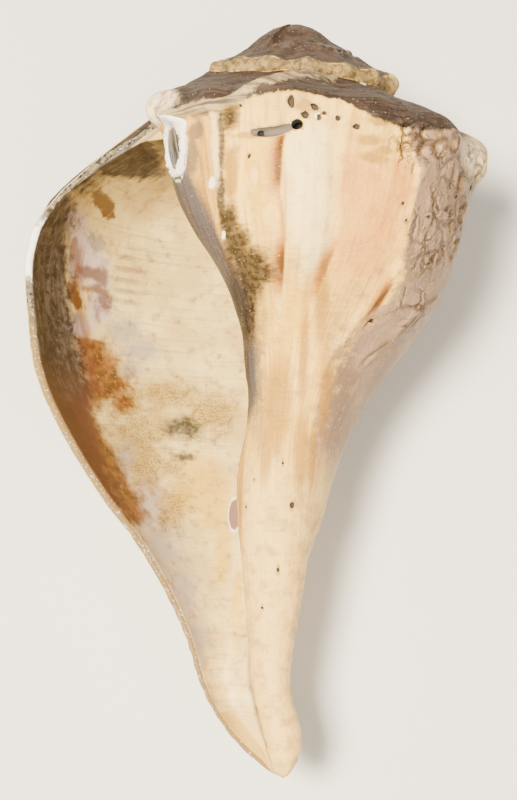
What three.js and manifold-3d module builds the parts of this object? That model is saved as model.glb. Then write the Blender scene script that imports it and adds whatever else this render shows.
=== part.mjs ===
// A large left-handed whelk shell, beach-worn, lying on its back with its mouth up. Millimetres, +Z up.
//
// The shell is one piece, worked out as it grew: one whorl outline is swung round the coiling axis, backwards
// from the lip, and shrinks by the same share each half turn. Below the whorl the sheet closes on the pillar
// that carries the canal. Places on it are given by the winding (radians back from the lip) and by the
// station (millimetres below the apex along the axis, as measured on the finished lip).
import * as THREE from "three";
import Module from "manifold-3d";
import { mergeVertices } from "three/addons/utils/BufferGeometryUtils.js";

const { PI, abs, cos, exp, hypot, max, min, sin, sqrt } = Math;
const TURN = 2 * PI;

// Driving dimensions
const LENGTH = 201; // apex to canal tip, along the coiling axis
const HALF_TURN_GROWTH = 1.42; // the shell is this much larger after each half turn
const FIRST = 30.01; // station of a whorl's own top row, which lies on the whorl before it
const SUTURE = 60.5; // station on a whorl where the next whorl is attached
const CEILING = 68.5; // station on a whorl where the next whorl's hollow begins
const LIP_WALL = 2.3;
const DEEP_WALL = 3.1;
const CANAL_WALL = 1.5;
const WALL_THINS = [110, 190]; // stations between which the wall thins into the canal
const CORNER = { rise: 4, over: 35 }; // how the hollow's ceiling is rounded into the corner of the mouth
const TIP_SHIFT = 4.4; // how far the canal's end leans to the right, between these stations
const TIP_BEND = [174, 194];
const SOFTNESS = 4.5; // how softly the whorl runs into the pillar
const LIP_FLARE = 0.75; // winding over which the lip's own outline gives way to the whorl's
const LIP_ROUND = 1.2; // how far the lip's edge is rounded out, for its thickness
const LIP_LEAD = { side: -0.13, ramp: 0.05, lowEnd: 160 }; // how the lip's edge bows, in winding

// [station, radius] down the worn outer whorl, the wider finished lip, and the pillar
const WHORL_OUTLINE = [[30.01, 33.73], [34, 41], [38, 49], [42, 57.2], [46, 63.4], [50, 66.7], [55, 68.2],
  [60.5, 68], [68.5, 67.4], [76, 66.4], [84, 64.9], [92, 62.8], [100, 60], [108, 56], [116, 50.8], [124, 44.8],
  [132, 38.8], [140, 33.4], [148, 29], [156, 25.2], [165, 21.4], [175, 18], [185, 14.8], [192, 11], [197, 6],
  [201, 0]];
const LIP_OUTLINE = [[30.01, 33.73], [34, 42.3], [38, 49.3], [42, 55.3], [46, 60.2], [50, 63.6], [55, 66.4],
  [60.5, 68.5], [68.5, 69.8], [76, 69.2], [84, 67.6], [92, 65.8], [100, 63.1], [108, 59], [116, 54.2],
  [124, 49], [132, 43.2], [140, 37], [148, 31.8], [156, 27.1], [165, 22.6], [175, 18.8], [185, 16.2],
  [192, 12.4], [197, 6.8], [200, 2.4], [201, 0]];
const PILLAR_OUTLINE = [[0, 0.5], [40, 4], [70, 7.4], [95, 8.6], [104, 8.2], [111, 8.3], [118, 9.7], [125, 10.3],
  [130, 10.3], [137, 9.5], [145, 8.1], [156, 6.6], [168, 5], [178, 4.1], [186, 4.1], [191, 4.2], [195, 3.9],
  [198, 3], [200, 1.7], [201, 0]];

// Knobs on the shoulder: [winding, height, width]
const KNOBS = [[0.16, 2, 5], [0.66, 3, 6.5], [1.23, 4, 7], [2, 7.8, 8.5], [2.6, 3, 6], [3.16, 4.6, 6],
  [3.72, 2, 6], [4.2, 1.4, 6], [4.75, 1.3, 6], [5.3, 1.6, 5], [5.75, 2.6, 5], [6.22, 4.6, 4.6], [6.85, 3, 4.2],
  [7.4, 3, 4.2], [7.95, 2.8, 4], [8.5, 2.6, 3.8], [9, 2.4, 3.6], [9.45, 3, 3.6], [9.95, 1.4, 3.2],
  [10.4, 1.6, 3], [10.85, 1.4, 3], [11.3, 1.6, 2.8], [11.75, 1.4, 2.8], [12.2, 1.5, 2.6], [12.65, 1.7, 2.6]];
const KNOB_STATION = 53;

// Lines raised on the surface, as [winding, depth] from end to end, with their height and half width: the
// chipped crest that climbs the ramp, the edge of the glaze beside the mouth, and the folds of old lips
const CREST = { high: 1.9, wide: 2.1,
  line: [[5.95, 29.5], [5.67, 32], [5.24, 32.4], [5.06, 30.6], [4.91, 26.6], [4.77, 22.6], [4.3, 18.8]] };
const GLAZE_EDGE = { line: [[5.27, 36], [5.27, 78.5]], high: 0.7, wide: 2 };
const LEFT_FOLD = { line: [[4.763, 40], [4.763, 68]], high: -0.8, wide: 2 };
const FRONT_RIB = { line: [[4.61, 38], [4.61, 66]], high: 1, wide: 4.5 };
const RIGHT_FOLD = { line: [[4.459, 40], [4.459, 70]], high: -0.8, wide: 2 };
const FLAKED_EDGE = { line: [[3.851, 46], [3.851, 78]], high: 0.9, wide: 2.6 };
const RAISED_LINES = [CREST, GLAZE_EDGE, LEFT_FOLD, FRONT_RIB, RIGHT_FOLD, FLAKED_EDGE];

// Bored pits as [winding, depth, radius], the hole right through, the trench that runs into it
const PITS = [[4.734, 32.7, 1], [4.593, 33.8, 1.2], [4.46, 36.7, 1.4], [4.346, 38.5, 1.1], [4.04, 37.6, 1.7],
  [3.97, 42, 1.9], [3.9, 38.6, 2], [3.8, 41.5, 1.9], [3.86, 45.9, 1.6], [3.82, 82.9, 1.1]];
const HOLE = { winding: 4.697, depth: 39.1, radius: 1.5, deep: 5 };
const TRENCH = { winding: 4.83, depth: 39.8, radius: 1.3, length: 8, turn: 0.07 };
// The ring of lime that some small animal left beside the mouth
const LIME_RING = { winding: 5.864, depth: 39.4, radius: 3.4, thick: 1, tall: 1.75 };

// How the shell lies: turned about the picture's left-right line, then rolled to its right side, with the
// coiling axis this far above the ground under the apex. Its back and two knobs are worn flat there.
const PITCH = 9 * (PI / 180);
const ROLL = 3.5 * (PI / 180);
const AXIS_HEIGHT = 63.9;

// Where the hollow ends, out of sight behind the pillar: at this winding for the upper part, the dead end,
// and from there back to the lip along a station that sinks to the canal's tip
const DEAD_END = { winding: 5, share: 0.34, station: 172, sink: 0.6 };
const LEAST_HOLLOW = 0.35; // of the way from the whorl before to the outer side, where the wall is thick for it
const CLOSES_LATE = 4; // power that keeps the hollow wide until near its closing line

// The worn spire: lower, wider and leaning further than the rest of the shell foretells, each change fading
// with depth, and its oldest whorls worn down to a plain cone
const SPIRE_LOW = { share: 0.15, fade: 30 };
const SPIRE_WIDE = { share: 0.08, fade: 25 };
const SPIRE_LEAN = { front: 0.3, left: 0.1, fade: 26 };
const CONE = { radius: 2.6, slope: 1.28, from: 9.6, over: 2.6, bottom: 14, fade: 6 };
const APEX_DEPTH = 0.4;

// Mesh fineness
const COLUMNS = 62; // round one turn
const RAMP_ROWS = 8;
const LIP_ROWS = 2; // across the lip's thickness
const SIDE_ROWS = 24;
const SPIRE_TURNS = 2.8;
const HOLLOW_COLUMNS = 22;
const CROWDING = { tip: 1.2, mouth: 1.3, canal: 1.5 }; // powers that draw rows and columns together
const PIT_SIDES = 8;
const RING_SIDES = 6;

const clamp = (x, low = 0, high = 1) => min(high, max(low, x));
const smooth = (x) => clamp(x) ** 2 * (3 - 2 * clamp(x));
const bump = (x) => exp(-x * x);
const growth = (winding) => HALF_TURN_GROWTH ** (-winding / PI);
const blend = (from, to, share) => from ** (1 - share) * to ** share; // even steps of growth between two
const steps = (from, to, count) => {
  return Array.from({ length: count + 1 }, (_, i) => from + ((to - from) * i) / count);
};

// A smooth curve through points of rising station: cubic pieces whose slopes are the neighbours' mean.
function through(points) {
  const secant = points.slice(1).map(([x, y], i) => (y - points[i][1]) / (x - points[i][0]));
  const slope = points.map((_, i) => ((secant[i - 1] ?? secant[i]) + (secant[i] ?? secant[i - 1])) / 2);
  return (x) => {
    let i = points.findIndex(([station]) => station > x) - 1;
    if (i === -2) i = points.length - 2;
    if (i < 0) i = 0;
    const [[x0, y0], [x1, y1]] = [points[i], points[i + 1]];
    const w = x1 - x0;
    const u = clamp((x - x0) / w);
    const a = slope[i] * w - (y1 - y0);
    const b = -slope[i + 1] * w + (y1 - y0);
    return y0 + u * (y1 - y0) + u * (1 - u) * (a * (1 - u) + b * u);
  };
}

const whorlOutline = through(WHORL_OUTLINE);
const lipOutline = through(LIP_OUTLINE);
const pillarOutline = through(PILLAR_OUTLINE);

// Radius of the sheet's outer side at a winding and a depth below the apex.
function radius(winding, depth) {
  const scale = growth(winding);
  const station = clamp(depth / scale, FIRST, LENGTH);
  const flare = bump(winding / LIP_FLARE);
  const whorl = scale * (whorlOutline(station) * (1 - flare) + lipOutline(station) * flare);
  const pillar = pillarOutline(depth);
  const soft = SOFTNESS * clamp(depth / SUTURE, 0.05) * clamp((LENGTH - depth) / (3 * TIP_SHIFT));
  return (whorl + pillar + hypot(whorl - pillar, soft)) / 2;
}

// The finished lip isn't straight: it hangs back on the ramp and bows forward down the side.
function lead(station) {
  const side = clamp((station - CEILING) / (LIP_LEAD.lowEnd - CEILING));
  const ramp = clamp((station - FIRST) / (SUTURE - FIRST));
  return LIP_LEAD.side * sin(PI * side) ** 2 + LIP_LEAD.ramp * sin(PI * ramp) ** 2;
}

// Rows follow the growing whorl near the shoulder and even out towards the canal tip, which never moves.
function rowDepth(station, winding) {
  const scale = growth(winding);
  const fixed = clamp((station - CEILING) / (LENGTH - CEILING)) ** CROWDING.canal;
  return station * (scale + (1 - scale) * fixed);
}

// Polar place about the axis to a point: +Y towards the apex, the mouth on the left, facing +Z.
function place(winding, depth, r) {
  const worn = smooth((winding - CONE.from) / CONE.over) * (1 - smooth((depth - CONE.bottom) / CONE.fade));
  const rounded = r + (CONE.radius + CONE.slope * depth - r) * worn;
  const bend = TIP_SHIFT * smooth((depth - TIP_BEND[0]) / (TIP_BEND[1] - TIP_BEND[0]));
  const x = -rounded * cos(winding);
  const z = -rounded * sin(winding);
  const wide = 1 + SPIRE_WIDE.share * bump(depth / SPIRE_WIDE.fade);
  const lean = SPIRE_LEAN.front * max(z, 0) + SPIRE_LEAN.left * max(-x, 0);
  const sunk = depth * (1 - SPIRE_LOW.share * bump(depth / SPIRE_LOW.fade));
  return new THREE.Vector3(x * wide + bend, -sunk - lean * bump(depth / SPIRE_LEAN.fade), z * wide);
}

// How far a place is from a line on the surface, in millimetres.
function distanceTo(line, winding, depth, r) {
  const flat = ([w, d]) => new THREE.Vector3(w * r, d, 0);
  const here = flat([winding, depth]);
  const nearest = new THREE.Vector3();
  const parts = line.slice(1).map((end, i) => new THREE.Line3(flat(line[i]), flat(end)));
  return min(...parts.map((part) => part.closestPointToPoint(here, true, nearest).distanceTo(here)));
}

// Height of what stands on the outer surface, along its normal.
function relief(winding, depth) {
  let height = 0;
  for (const [at, high, wide] of KNOBS) {
    const scale = growth(at);
    const along = (winding - at) * radius(at, KNOB_STATION * scale);
    const down = (depth / growth(winding) - KNOB_STATION) * scale;
    height += high * bump(along / wide) * bump(down / wide);
  }
  if (winding < PI || winding > TURN) return height;
  const r = radius(winding, depth);
  for (const { line, high, wide } of RAISED_LINES)
    height += high * bump(distanceTo(line, winding, depth, r) / wide);
  return height;
}

// The outer surface at a winding and depth, and the way it faces.
const NEARBY = { turn: 0.02, fall: 0.5 };
function skin(winding, depth) {
  const at = (w, d) => place(w, d, radius(w, d));
  const { turn, fall } = NEARBY;
  const back = at(winding + turn, depth).sub(at(winding - turn, depth));
  const down = at(winding, depth + fall).sub(at(winding, depth - fall));
  const facing = back.cross(down).normalize();
  return { facing, point: at(winding, depth).addScaledVector(facing, relief(winding, depth)) };
}

function outer(winding, station) {
  const w = winding + lead(station) * exp(-winding);
  const depth = rowDepth(station, w);
  if (station === LENGTH) return place(w, depth, 0);
  return skin(w, depth).point;
}

const stations = [...steps(FIRST, SUTURE, RAMP_ROWS), ...steps(SUTURE, CEILING, LIP_ROWS).slice(1),
  ...steps(0, 1, SIDE_ROWS).slice(1).map((x) => LENGTH - (LENGTH - CEILING) * (1 - x) ** CROWDING.tip)];
const SUTURE_ROW = RAMP_ROWS;
const CEILING_ROW = RAMP_ROWS + LIP_ROWS;
const LAST_ROW = stations.length - 1;

const triangles = [];
function triangle(a, b, c) {
  triangles.push(a, c, b);
}
function quad(a, b, c, d) {
  triangle(a, b, c);
  triangle(a, c, d);
}

// The outer sheet, column by column from the spire to the lip, so that each whorl's top row can lie exactly
// on the whorl before it, whatever stands there. The rows near it follow.
const SPIRE_COLUMNS = Math.round(SPIRE_TURNS * COLUMNS);
const sheet = [];
for (let i = SPIRE_COLUMNS; i >= 0; i--) {
  const winding = (TURN * i) / COLUMNS;
  const rows = i <= COLUMNS ? LAST_ROW : SUTURE_ROW;
  sheet[i] = stations.slice(0, rows + 1).map((station) => outer(winding, station));
  const older = sheet[i + COLUMNS];
  if (older) {
    const pull = older[SUTURE_ROW].clone().sub(sheet[i][0]);
    for (let j = 0; j <= SUTURE_ROW; j++) sheet[i][j].addScaledVector(pull, (1 - j / SUTURE_ROW) ** 2);
  }
}
for (let i = 0; i < SPIRE_COLUMNS; i++) {
  const rows = i < COLUMNS ? LAST_ROW : SUTURE_ROW;
  for (let j = 0; j < rows; j++) quad(sheet[i][j], sheet[i][j + 1], sheet[i + 1][j + 1], sheet[i + 1][j]);
}

// The apex closes over the last turn's top row and its end.
const apexRim = [...sheet.slice(SPIRE_COLUMNS - COLUMNS).map((column) => column[0]),
  ...sheet[SPIRE_COLUMNS].slice(1)];
const apex = new THREE.Vector3(0, -APEX_DEPTH, 0);
apexRim.forEach((point, i) => triangle(point, apexRim[(i + 1) % apexRim.length], apex));

// The hollow lies between the wall's inside and the whorl before it. Both end on one closing line.
function closing(share) {
  const deepStation = DEAD_END.station * growth(DEAD_END.winding);
  if (share < DEAD_END.share) {
    const top = CEILING * growth(TURN + DEAD_END.winding);
    return [DEAD_END.winding, blend(top, deepStation, share / DEAD_END.share)];
  }
  const winding = DEAD_END.winding * (1 - (share - DEAD_END.share) / (1 - DEAD_END.share));
  const station = DEAD_END.station + (LENGTH - DEAD_END.station) * exp(-winding / DEAD_END.sink);
  return [winding, growth(winding) * station];
}

function wall(winding, depth) {
  const upper = DEEP_WALL + (LIP_WALL - DEEP_WALL) * exp(-winding / LIP_FLARE);
  return upper + (CANAL_WALL - upper) * smooth((depth - WALL_THINS[0]) / (WALL_THINS[1] - WALL_THINS[0]));
}

// Radius of the wall's inner side: the outer side set in by the wall's thickness, square to the surface.
function inset(winding, depth, thick) {
  const angles = steps(-PI / 2, PI / 2, 8);
  return min(...angles.map((angle) => radius(winding, depth + thick * sin(angle)) - thick * cos(angle)));
}

function innerWall(row, share) {
  const station = stations[row];
  const [end, endDepth] = closing(row / LAST_ROW);
  const above = CORNER.rise * (1 - smooth((station - FIRST) / CORNER.over));
  const winding = end * share + lead(station) * (1 - share);
  const depth = blend(station + above, endDepth, share);
  const inside = radius(winding + TURN, depth);
  const thick = wall(winding, depth);
  const gap = max(inset(winding, depth, thick) - inside, LEAST_HOLLOW * (radius(winding, depth) - inside));
  const open = row === 0 || row === LAST_ROW ? 0 : gap * sqrt(1 - share ** CLOSES_LATE);
  return place(winding, depth, inside + open);
}

function olderWhorl(row, share) {
  const station = stations[row];
  const [end, endDepth] = closing((row - CEILING_ROW) / (LAST_ROW - CEILING_ROW));
  const winding = TURN + end * share;
  const depth = blend(rowDepth(station, TURN), endDepth, share);
  return place(winding, depth, radius(winding, depth));
}

const shares = steps(0, 1, HOLLOW_COLUMNS).map((x) => x ** CROWDING.mouth);
const inner = shares.map((share) => stations.map((_, row) => innerWall(row, share)));
const older = shares.map((share) => stations.map((_, row) => row >= CEILING_ROW && olderWhorl(row, share)));
for (let j = CEILING_ROW; j <= LAST_ROW; j++) older[0][j] = sheet[COLUMNS][j];
for (let i = 0; i <= HOLLOW_COLUMNS; i++) {
  inner[i][0] = older[i][CEILING_ROW];
  inner[i][LAST_ROW] = older[i][LAST_ROW];
}
for (let i = 0; i < HOLLOW_COLUMNS; i++) {
  for (let j = CEILING_ROW; j < LAST_ROW; j++)
    quad(older[i][j], older[i][j + 1], older[i + 1][j + 1], older[i + 1][j]);
  if (i === HOLLOW_COLUMNS - 1) break;
  for (let j = 0; j < LAST_ROW; j++)
    quad(inner[i][j], inner[i + 1][j], inner[i + 1][j + 1], inner[i][j + 1]);
}

// Triangles between two lines of points with the same ends.
function zip(a, b) {
  let [i, j] = [0, 0];
  while (i < a.length - 1 || j < b.length - 1) {
    const aNext = (i + 1) / (a.length - 1) <= (j + 1) / (b.length - 1);
    if (j === b.length - 1 || (aNext && i < a.length - 1)) triangle(a[i], b[j], a[++i]);
    else triangle(a[i], b[j], b[++j]);
  }
}
zip(inner[HOLLOW_COLUMNS - 1], older[HOLLOW_COLUMNS].slice(CEILING_ROW));

// The lip's rounded edge, from the outer sheet to the inner wall.
const rim = stations.map((station, row) => {
  const [from, to] = [sheet[0][row], inner[0][row]];
  const forward = from.clone().sub(sheet[1][row]).normalize();
  const thick = from.distanceTo(to);
  return steps(0, 1, LIP_ROWS).map((share, k) => {
    if (row === 0) return sheet[COLUMNS][SUTURE_ROW + k];
    return from.clone().lerp(to, share).addScaledVector(forward, LIP_ROUND * thick * share * (1 - share));
  });
});
for (let j = 0; j < LAST_ROW; j++)
  for (let k = 0; k < LIP_ROWS; k++) quad(rim[j][k], rim[j][k + 1], rim[j + 1][k + 1], rim[j + 1][k]);

const WELD = 1e-3;
const merged = mergeVertices(new THREE.BufferGeometry().setFromPoints(triangles), WELD);
const kept = [];
for (let i = 0; i < merged.index.count; i += 3) {
  const [a, b, c] = [0, 1, 2].map((k) => merged.index.getX(i + k));
  if (a !== b && b !== c && c !== a) kept.push(a, b, c);
}
merged.setIndex(kept);

// Joining and cutting
const kit = await Module();
kit.setup();

function solid(geometry) {
  const bare = new THREE.BufferGeometry();
  bare.setAttribute("position", geometry.getAttribute("position"));
  bare.setIndex(geometry.index);
  const whole = mergeVertices(bare, WELD / 10);
  return kit.Manifold.ofMesh(new kit.Mesh({ numProp: 3, vertProperties: whole.attributes.position.array,
    triVerts: Uint32Array.from(whole.index.array) }));
}

// Sets a shape on the surface: its Z looks outwards, its Y towards the apex.
function setOn(geometry, winding, depth, above = 0) {
  const { facing, point } = skin(winding, depth);
  const right = new THREE.Vector3(0, 1, 0).cross(facing).normalize();
  const turned = new THREE.Matrix4().makeBasis(right, facing.clone().cross(right), facing);
  return geometry.applyMatrix4(turned.setPosition(point.addScaledVector(facing, above)));
}

function pit([winding, depth, radius]) {
  const ball = new THREE.SphereGeometry(radius, PIT_SIDES, PIT_SIDES - 2);
  return solid(setOn(ball, winding, depth, radius / 5));
}

function hole({ winding, depth, radius, deep }) {
  const drill = new THREE.CylinderGeometry(radius, radius, 2 * deep, PIT_SIDES).rotateX(PI / 2);
  return solid(setOn(drill, winding, depth));
}

function trench({ winding, depth, radius, length, turn }) {
  const groove = new THREE.CapsuleGeometry(radius, length, 2, PIT_SIDES).rotateZ(PI / 2 + turn);
  return solid(setOn(groove, winding, depth));
}

function limeRing({ winding, depth, radius, thick, tall }) {
  const ring = new THREE.TorusGeometry(radius, thick, RING_SIDES, 2 * PIT_SIDES).scale(1, tall, 1);
  return solid(setOn(ring, winding, depth));
}

const joined = solid(merged).add(limeRing(LIME_RING));
const cutters = [...PITS.map(pit), hole(HOLE), trench(TRENCH)];
const bored = cutters.reduce((rest, cutter) => rest.subtract(cutter), joined).getMesh();

const geometry = new THREE.BufferGeometry();
geometry.setAttribute("position", new THREE.BufferAttribute(bored.vertProperties, bored.numProp));
geometry.setIndex([...bored.triVerts]);

// Lay the shell down, wear its resting places flat, and set the box's bottom centre on the origin.
geometry.applyMatrix4(new THREE.Matrix4().makeRotationX(PITCH));
geometry.applyMatrix4(new THREE.Matrix4().makeRotationY(ROLL));
geometry.translate(0, 0, AXIS_HEIGHT);
const points = geometry.getAttribute("position");
for (let i = 0; i < points.count; i++) points.setZ(i, max(0, points.getZ(i)));
geometry.computeBoundingBox();
const middle = geometry.boundingBox.getCenter(new THREE.Vector3());
geometry.translate(-middle.x, -middle.y, 0);
geometry.computeVertexNormals();

const lime = new THREE.MeshStandardMaterial({ color: 0xd9c3a4, roughness: 0.5, metalness: 0 });
const shell = new THREE.Mesh(geometry, lime);
shell.name = "whelk_shell";

const root = new THREE.Group();
root.add(shell);
export default root;
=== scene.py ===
import math
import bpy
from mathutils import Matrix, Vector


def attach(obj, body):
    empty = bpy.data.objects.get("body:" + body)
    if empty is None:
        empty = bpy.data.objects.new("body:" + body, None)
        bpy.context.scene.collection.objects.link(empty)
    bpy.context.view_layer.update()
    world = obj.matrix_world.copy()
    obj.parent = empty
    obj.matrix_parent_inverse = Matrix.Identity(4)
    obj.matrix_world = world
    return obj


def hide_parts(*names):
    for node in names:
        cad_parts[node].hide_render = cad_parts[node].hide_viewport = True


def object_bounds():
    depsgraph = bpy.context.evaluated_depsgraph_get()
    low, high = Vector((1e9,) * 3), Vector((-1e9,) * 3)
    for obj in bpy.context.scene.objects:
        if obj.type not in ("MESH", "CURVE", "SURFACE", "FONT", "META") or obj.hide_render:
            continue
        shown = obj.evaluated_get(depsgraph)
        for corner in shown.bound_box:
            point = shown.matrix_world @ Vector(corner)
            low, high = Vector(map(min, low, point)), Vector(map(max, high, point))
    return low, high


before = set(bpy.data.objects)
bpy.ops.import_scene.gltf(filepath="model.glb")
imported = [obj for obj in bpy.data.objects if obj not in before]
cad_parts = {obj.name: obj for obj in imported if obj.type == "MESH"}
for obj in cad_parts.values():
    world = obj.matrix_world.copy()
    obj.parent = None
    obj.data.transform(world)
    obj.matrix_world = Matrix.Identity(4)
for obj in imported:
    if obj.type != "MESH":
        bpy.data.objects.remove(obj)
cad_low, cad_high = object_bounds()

from types import SimpleNamespace

import bmesh
import bpy
import numpy as np
from mathutils import Matrix, Vector, noise

# Viewpoint
# The shell is worked out about its coiling axis, apex at nought, Y towards the apex and the mouth facing Z.
# It lies tipped and rolled on its back, so one matrix turns its own directions into the part's.
MM = 0.001
TIPPED = math.radians(9.0)
ROLLED = math.radians(3.5)
APEX_PLACE_MM = Vector((9.04, 99.46, 63.9))
lie = Matrix.Translation(APEX_PLACE_MM) @ Matrix.Rotation(ROLLED, 4, "Y") @ Matrix.Rotation(TIPPED, 4, "X")

EYE_MM = Vector((-5.97, -137.61, 398.24))
EYE_TILT = math.radians(5.0)
EYE_ROLL = math.radians(-2.36)
FOCAL_PX = 1506
FRAME_HEIGHT_PX = 800
SENSOR_MM = 36

forward = Vector((0, math.sin(EYE_TILT), -math.cos(EYE_TILT)))
level_up = Vector((0, math.cos(EYE_TILT), math.sin(EYE_TILT)))
up = level_up * math.cos(EYE_ROLL) + forward.cross(level_up) * math.sin(EYE_ROLL)
facing = Matrix((forward.cross(up), up, -forward)).transposed().to_4x4()
placed = lie @ Matrix.Translation(EYE_MM) @ facing

camera = bpy.data.objects.new("Camera", bpy.data.cameras.new("Camera"))
bpy.context.collection.objects.link(camera)
camera.data.sensor_width = SENSOR_MM
camera.data.lens = SENSOR_MM * FOCAL_PX / FRAME_HEIGHT_PX
camera.rotation_mode = "QUATERNION"
camera.rotation_quaternion = placed.to_quaternion()
camera.location = placed.to_translation() * MM
camera.data.clip_start = 0.01
camera.data.clip_end = 20
bpy.context.scene.camera = camera

# Shell
# One empty shell of a left-handed whelk, about 200 mm long, grown as one piece of lime with a glazed mouth.
# It is worn dull by the sea, flaked on the right, bored by small animals and stained where it lay in mud.
# Its sheet is swung round the axis backwards from the lip and shrinks by the same share each half turn.
# Lengths are in millimetres and windings in radians, and a station is a depth on the last whorl's lip.
TURN = 2 * math.pi
LENGTH = 201.0
HALF_TURN_GROWTH = 1.42
FIRST = 30.01
SUTURE = 60.5
CEILING = 68.5
LIP_WALL = 2.3
DEEP_WALL = 3.1
CANAL_WALL = 1.5
WALL_THINS = (110, 190)
TIP_SHIFT = 4.4
TIP_BEND = (174, 194)
SOFTNESS, SOFT_LEAST = 4.5, 0.05
LIP_FLARE, LIP_ROUND = 0.75, 1.2
# How far the lip's edge runs ahead or behind, where the hollow ends, and how its upper corner rises
LEAD_SIDE, LEAD_RAMP, LEAD_LOW_END = -0.13, 0.05, 160
DEAD_WINDING, DEAD_SHARE, DEAD_STATION, DEAD_SINK = 5, 0.34, 172, 0.6
CORNER_RISE, CORNER_OVER = 4, 35

# Stations and radii in millimetres: the worn outer whorl beside the wider finished lip, and the pillar
OUTLINES = [(30.01, 33.73, 33.73), (34, 41, 42.3), (38, 49, 49.3), (42, 57.2, 55.3), (46, 63.4, 60.2),
    (50, 66.7, 63.6), (55, 68.2, 66.4), (60.5, 68, 68.5), (68.5, 67.4, 69.8), (76, 66.4, 69.2),
    (84, 64.9, 67.6), (92, 62.8, 65.8), (100, 60, 63.1), (108, 56, 59), (116, 50.8, 54.2),
    (124, 44.8, 49), (132, 38.8, 43.2), (140, 33.4, 37), (148, 29, 31.8), (156, 25.2, 27.1),
    (165, 21.4, 22.6), (175, 18, 18.8), (185, 14.8, 16.2), (192, 11, 12.4), (197, 6, 6.8), (201, 0, 0)]
LIP_TIP = (200, 2.4)
PILLAR_OUTLINE = [(0, 0.5), (40, 4), (70, 7.4), (95, 8.6), (104, 8.2), (111, 8.3), (118, 9.7), (125, 10.3),
    (130, 10.3), (137, 9.5), (145, 8.1), (156, 6.6), (168, 5), (178, 4.1), (186, 4.1), (191, 4.2),
        (195, 3.9),
    (198, 3), (200, 1.7), (201, 0)]

# Knobs on the shoulder: winding back from the lip, height, width
KNOBS = [(0.16, 2, 5), (0.66, 3, 6.5), (1.23, 4, 7), (2, 7.8, 8.5), (2.6, 3, 6), (3.16, 4.6, 6),
    (3.72, 2, 6),
    (4.2, 1.4, 6), (4.75, 1.3, 6), (5.3, 1.6, 5), (5.75, 2.6, 5), (6.22, 4.6, 4.6), (6.85, 3, 4.2),
        (7.4, 3, 4.2),
    (7.95, 2.8, 4), (8.5, 2.6, 3.8), (9, 2.4, 3.6), (9.45, 3, 3.6), (9.95, 1.4, 3.2), (10.4, 1.6, 3),
    (10.85, 1.4, 3), (11.3, 1.6, 2.8), (11.75, 1.4, 2.8), (12.2, 1.5, 2.6), (12.65, 1.7, 2.6)]
KNOB_STATION = 53

SPIRE_LOW, SPIRE_LOW_FADE = 0.15, 30
SPIRE_WIDE, SPIRE_WIDE_FADE = 0.08, 25
LEAN_FRONT, LEAN_LEFT, LEAN_FADE = 0.3, 0.1, 26
CONE_RADIUS, CONE_SLOPE = 2.6, 1.28
CONE_FROM, CONE_OVER = 9.6, 2.6
CONE_BOTTOM, CONE_FADE = 14, 6
APEX_DEPTH = 0.4
APEX_RINGS = (0.75, 0.5, 0.25)
APEX_ROUND = 2


def smooth(x):
    x = np.clip(x, 0, 1)
    return x * x * (3 - 2 * x)


def bump(x):
    return np.exp(-np.square(x))


def growth(winding):
    return HALF_TURN_GROWTH ** (-winding / math.pi)


def mix(low, high, share):
    return low ** (1 - share) * high ** share


def through(points):
    """A smooth curve through points of rising station, with the slopes' mean at each."""
    x0, y0 = np.array(points, float).T
    secant = np.diff(y0) / np.diff(x0)
    slope = np.concatenate((secant[:1], (secant[1:] + secant[:-1]) / 2, secant[-1:]))

    def curve(x):
        i = np.clip(np.searchsorted(x0, x, side="right") - 1, 0, len(x0) - 2)
        w = x0[i + 1] - x0[i]
        u = np.clip((x - x0[i]) / w, 0, 1)
        rise = y0[i + 1] - y0[i]
        a = slope[i] * w - rise
        b = rise - slope[i + 1] * w
        return y0[i] + u * rise + u * (1 - u) * (a * (1 - u) + b * u)

    return curve


whorl_outline = through([(station, whorl) for station, whorl, _ in OUTLINES])
lip_outline = through(sorted([(station, lip) for station, _, lip in OUTLINES] + [LIP_TIP]))
pillar_outline = through(PILLAR_OUTLINE)


def radius(winding, depth):
    scale = growth(winding)
    station = np.clip(depth / scale, FIRST, LENGTH)
    flare = bump(winding / LIP_FLARE)
    whorl = scale * (whorl_outline(station) * (1 - flare) + lip_outline(station) * flare)
    pillar = pillar_outline(depth)
    to_tip = np.clip((LENGTH - depth) / (3 * TIP_SHIFT), 0, 1)
    soft = SOFTNESS * np.clip(depth / SUTURE, SOFT_LEAST, 1) * to_tip
    return (whorl + pillar + np.hypot(whorl - pillar, soft)) / 2


def lead(station):
    side = np.clip((station - CEILING) / (LEAD_LOW_END - CEILING), 0, 1)
    ramp = np.clip((station - FIRST) / (SUTURE - FIRST), 0, 1)
    return LEAD_SIDE * np.sin(math.pi * side) ** 2 + LEAD_RAMP * np.sin(math.pi * ramp) ** 2


def row_depth(station, winding):
    scale = growth(winding)
    fixed = np.clip((station - CEILING) / (LENGTH - CEILING), 0, 1) ** 1.5
    return station * (scale + (1 - scale) * fixed)


def place(winding, depth, r):
    worn = smooth((winding - CONE_FROM) / CONE_OVER) * (1 - smooth((depth - CONE_BOTTOM) / CONE_FADE))
    rounded = r + (CONE_RADIUS + CONE_SLOPE * depth - r) * worn
    bend = TIP_SHIFT * smooth((depth - TIP_BEND[0]) / (TIP_BEND[1] - TIP_BEND[0]))
    x = -rounded * np.cos(winding)
    z = -rounded * np.sin(winding)
    wide = 1 + SPIRE_WIDE * bump(depth / SPIRE_WIDE_FADE)
    lean = LEAN_FRONT * np.maximum(z, 0) + LEAN_LEFT * np.maximum(-x, 0)
    low = depth * (1 - SPIRE_LOW * bump(depth / SPIRE_LOW_FADE)) + lean * bump(depth / LEAN_FADE)
    return np.stack(np.broadcast_arrays(x * wide + bend, -low, z * wide), -1)


def base(winding, depth):
    return place(winding, depth, radius(winding, depth))


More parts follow.
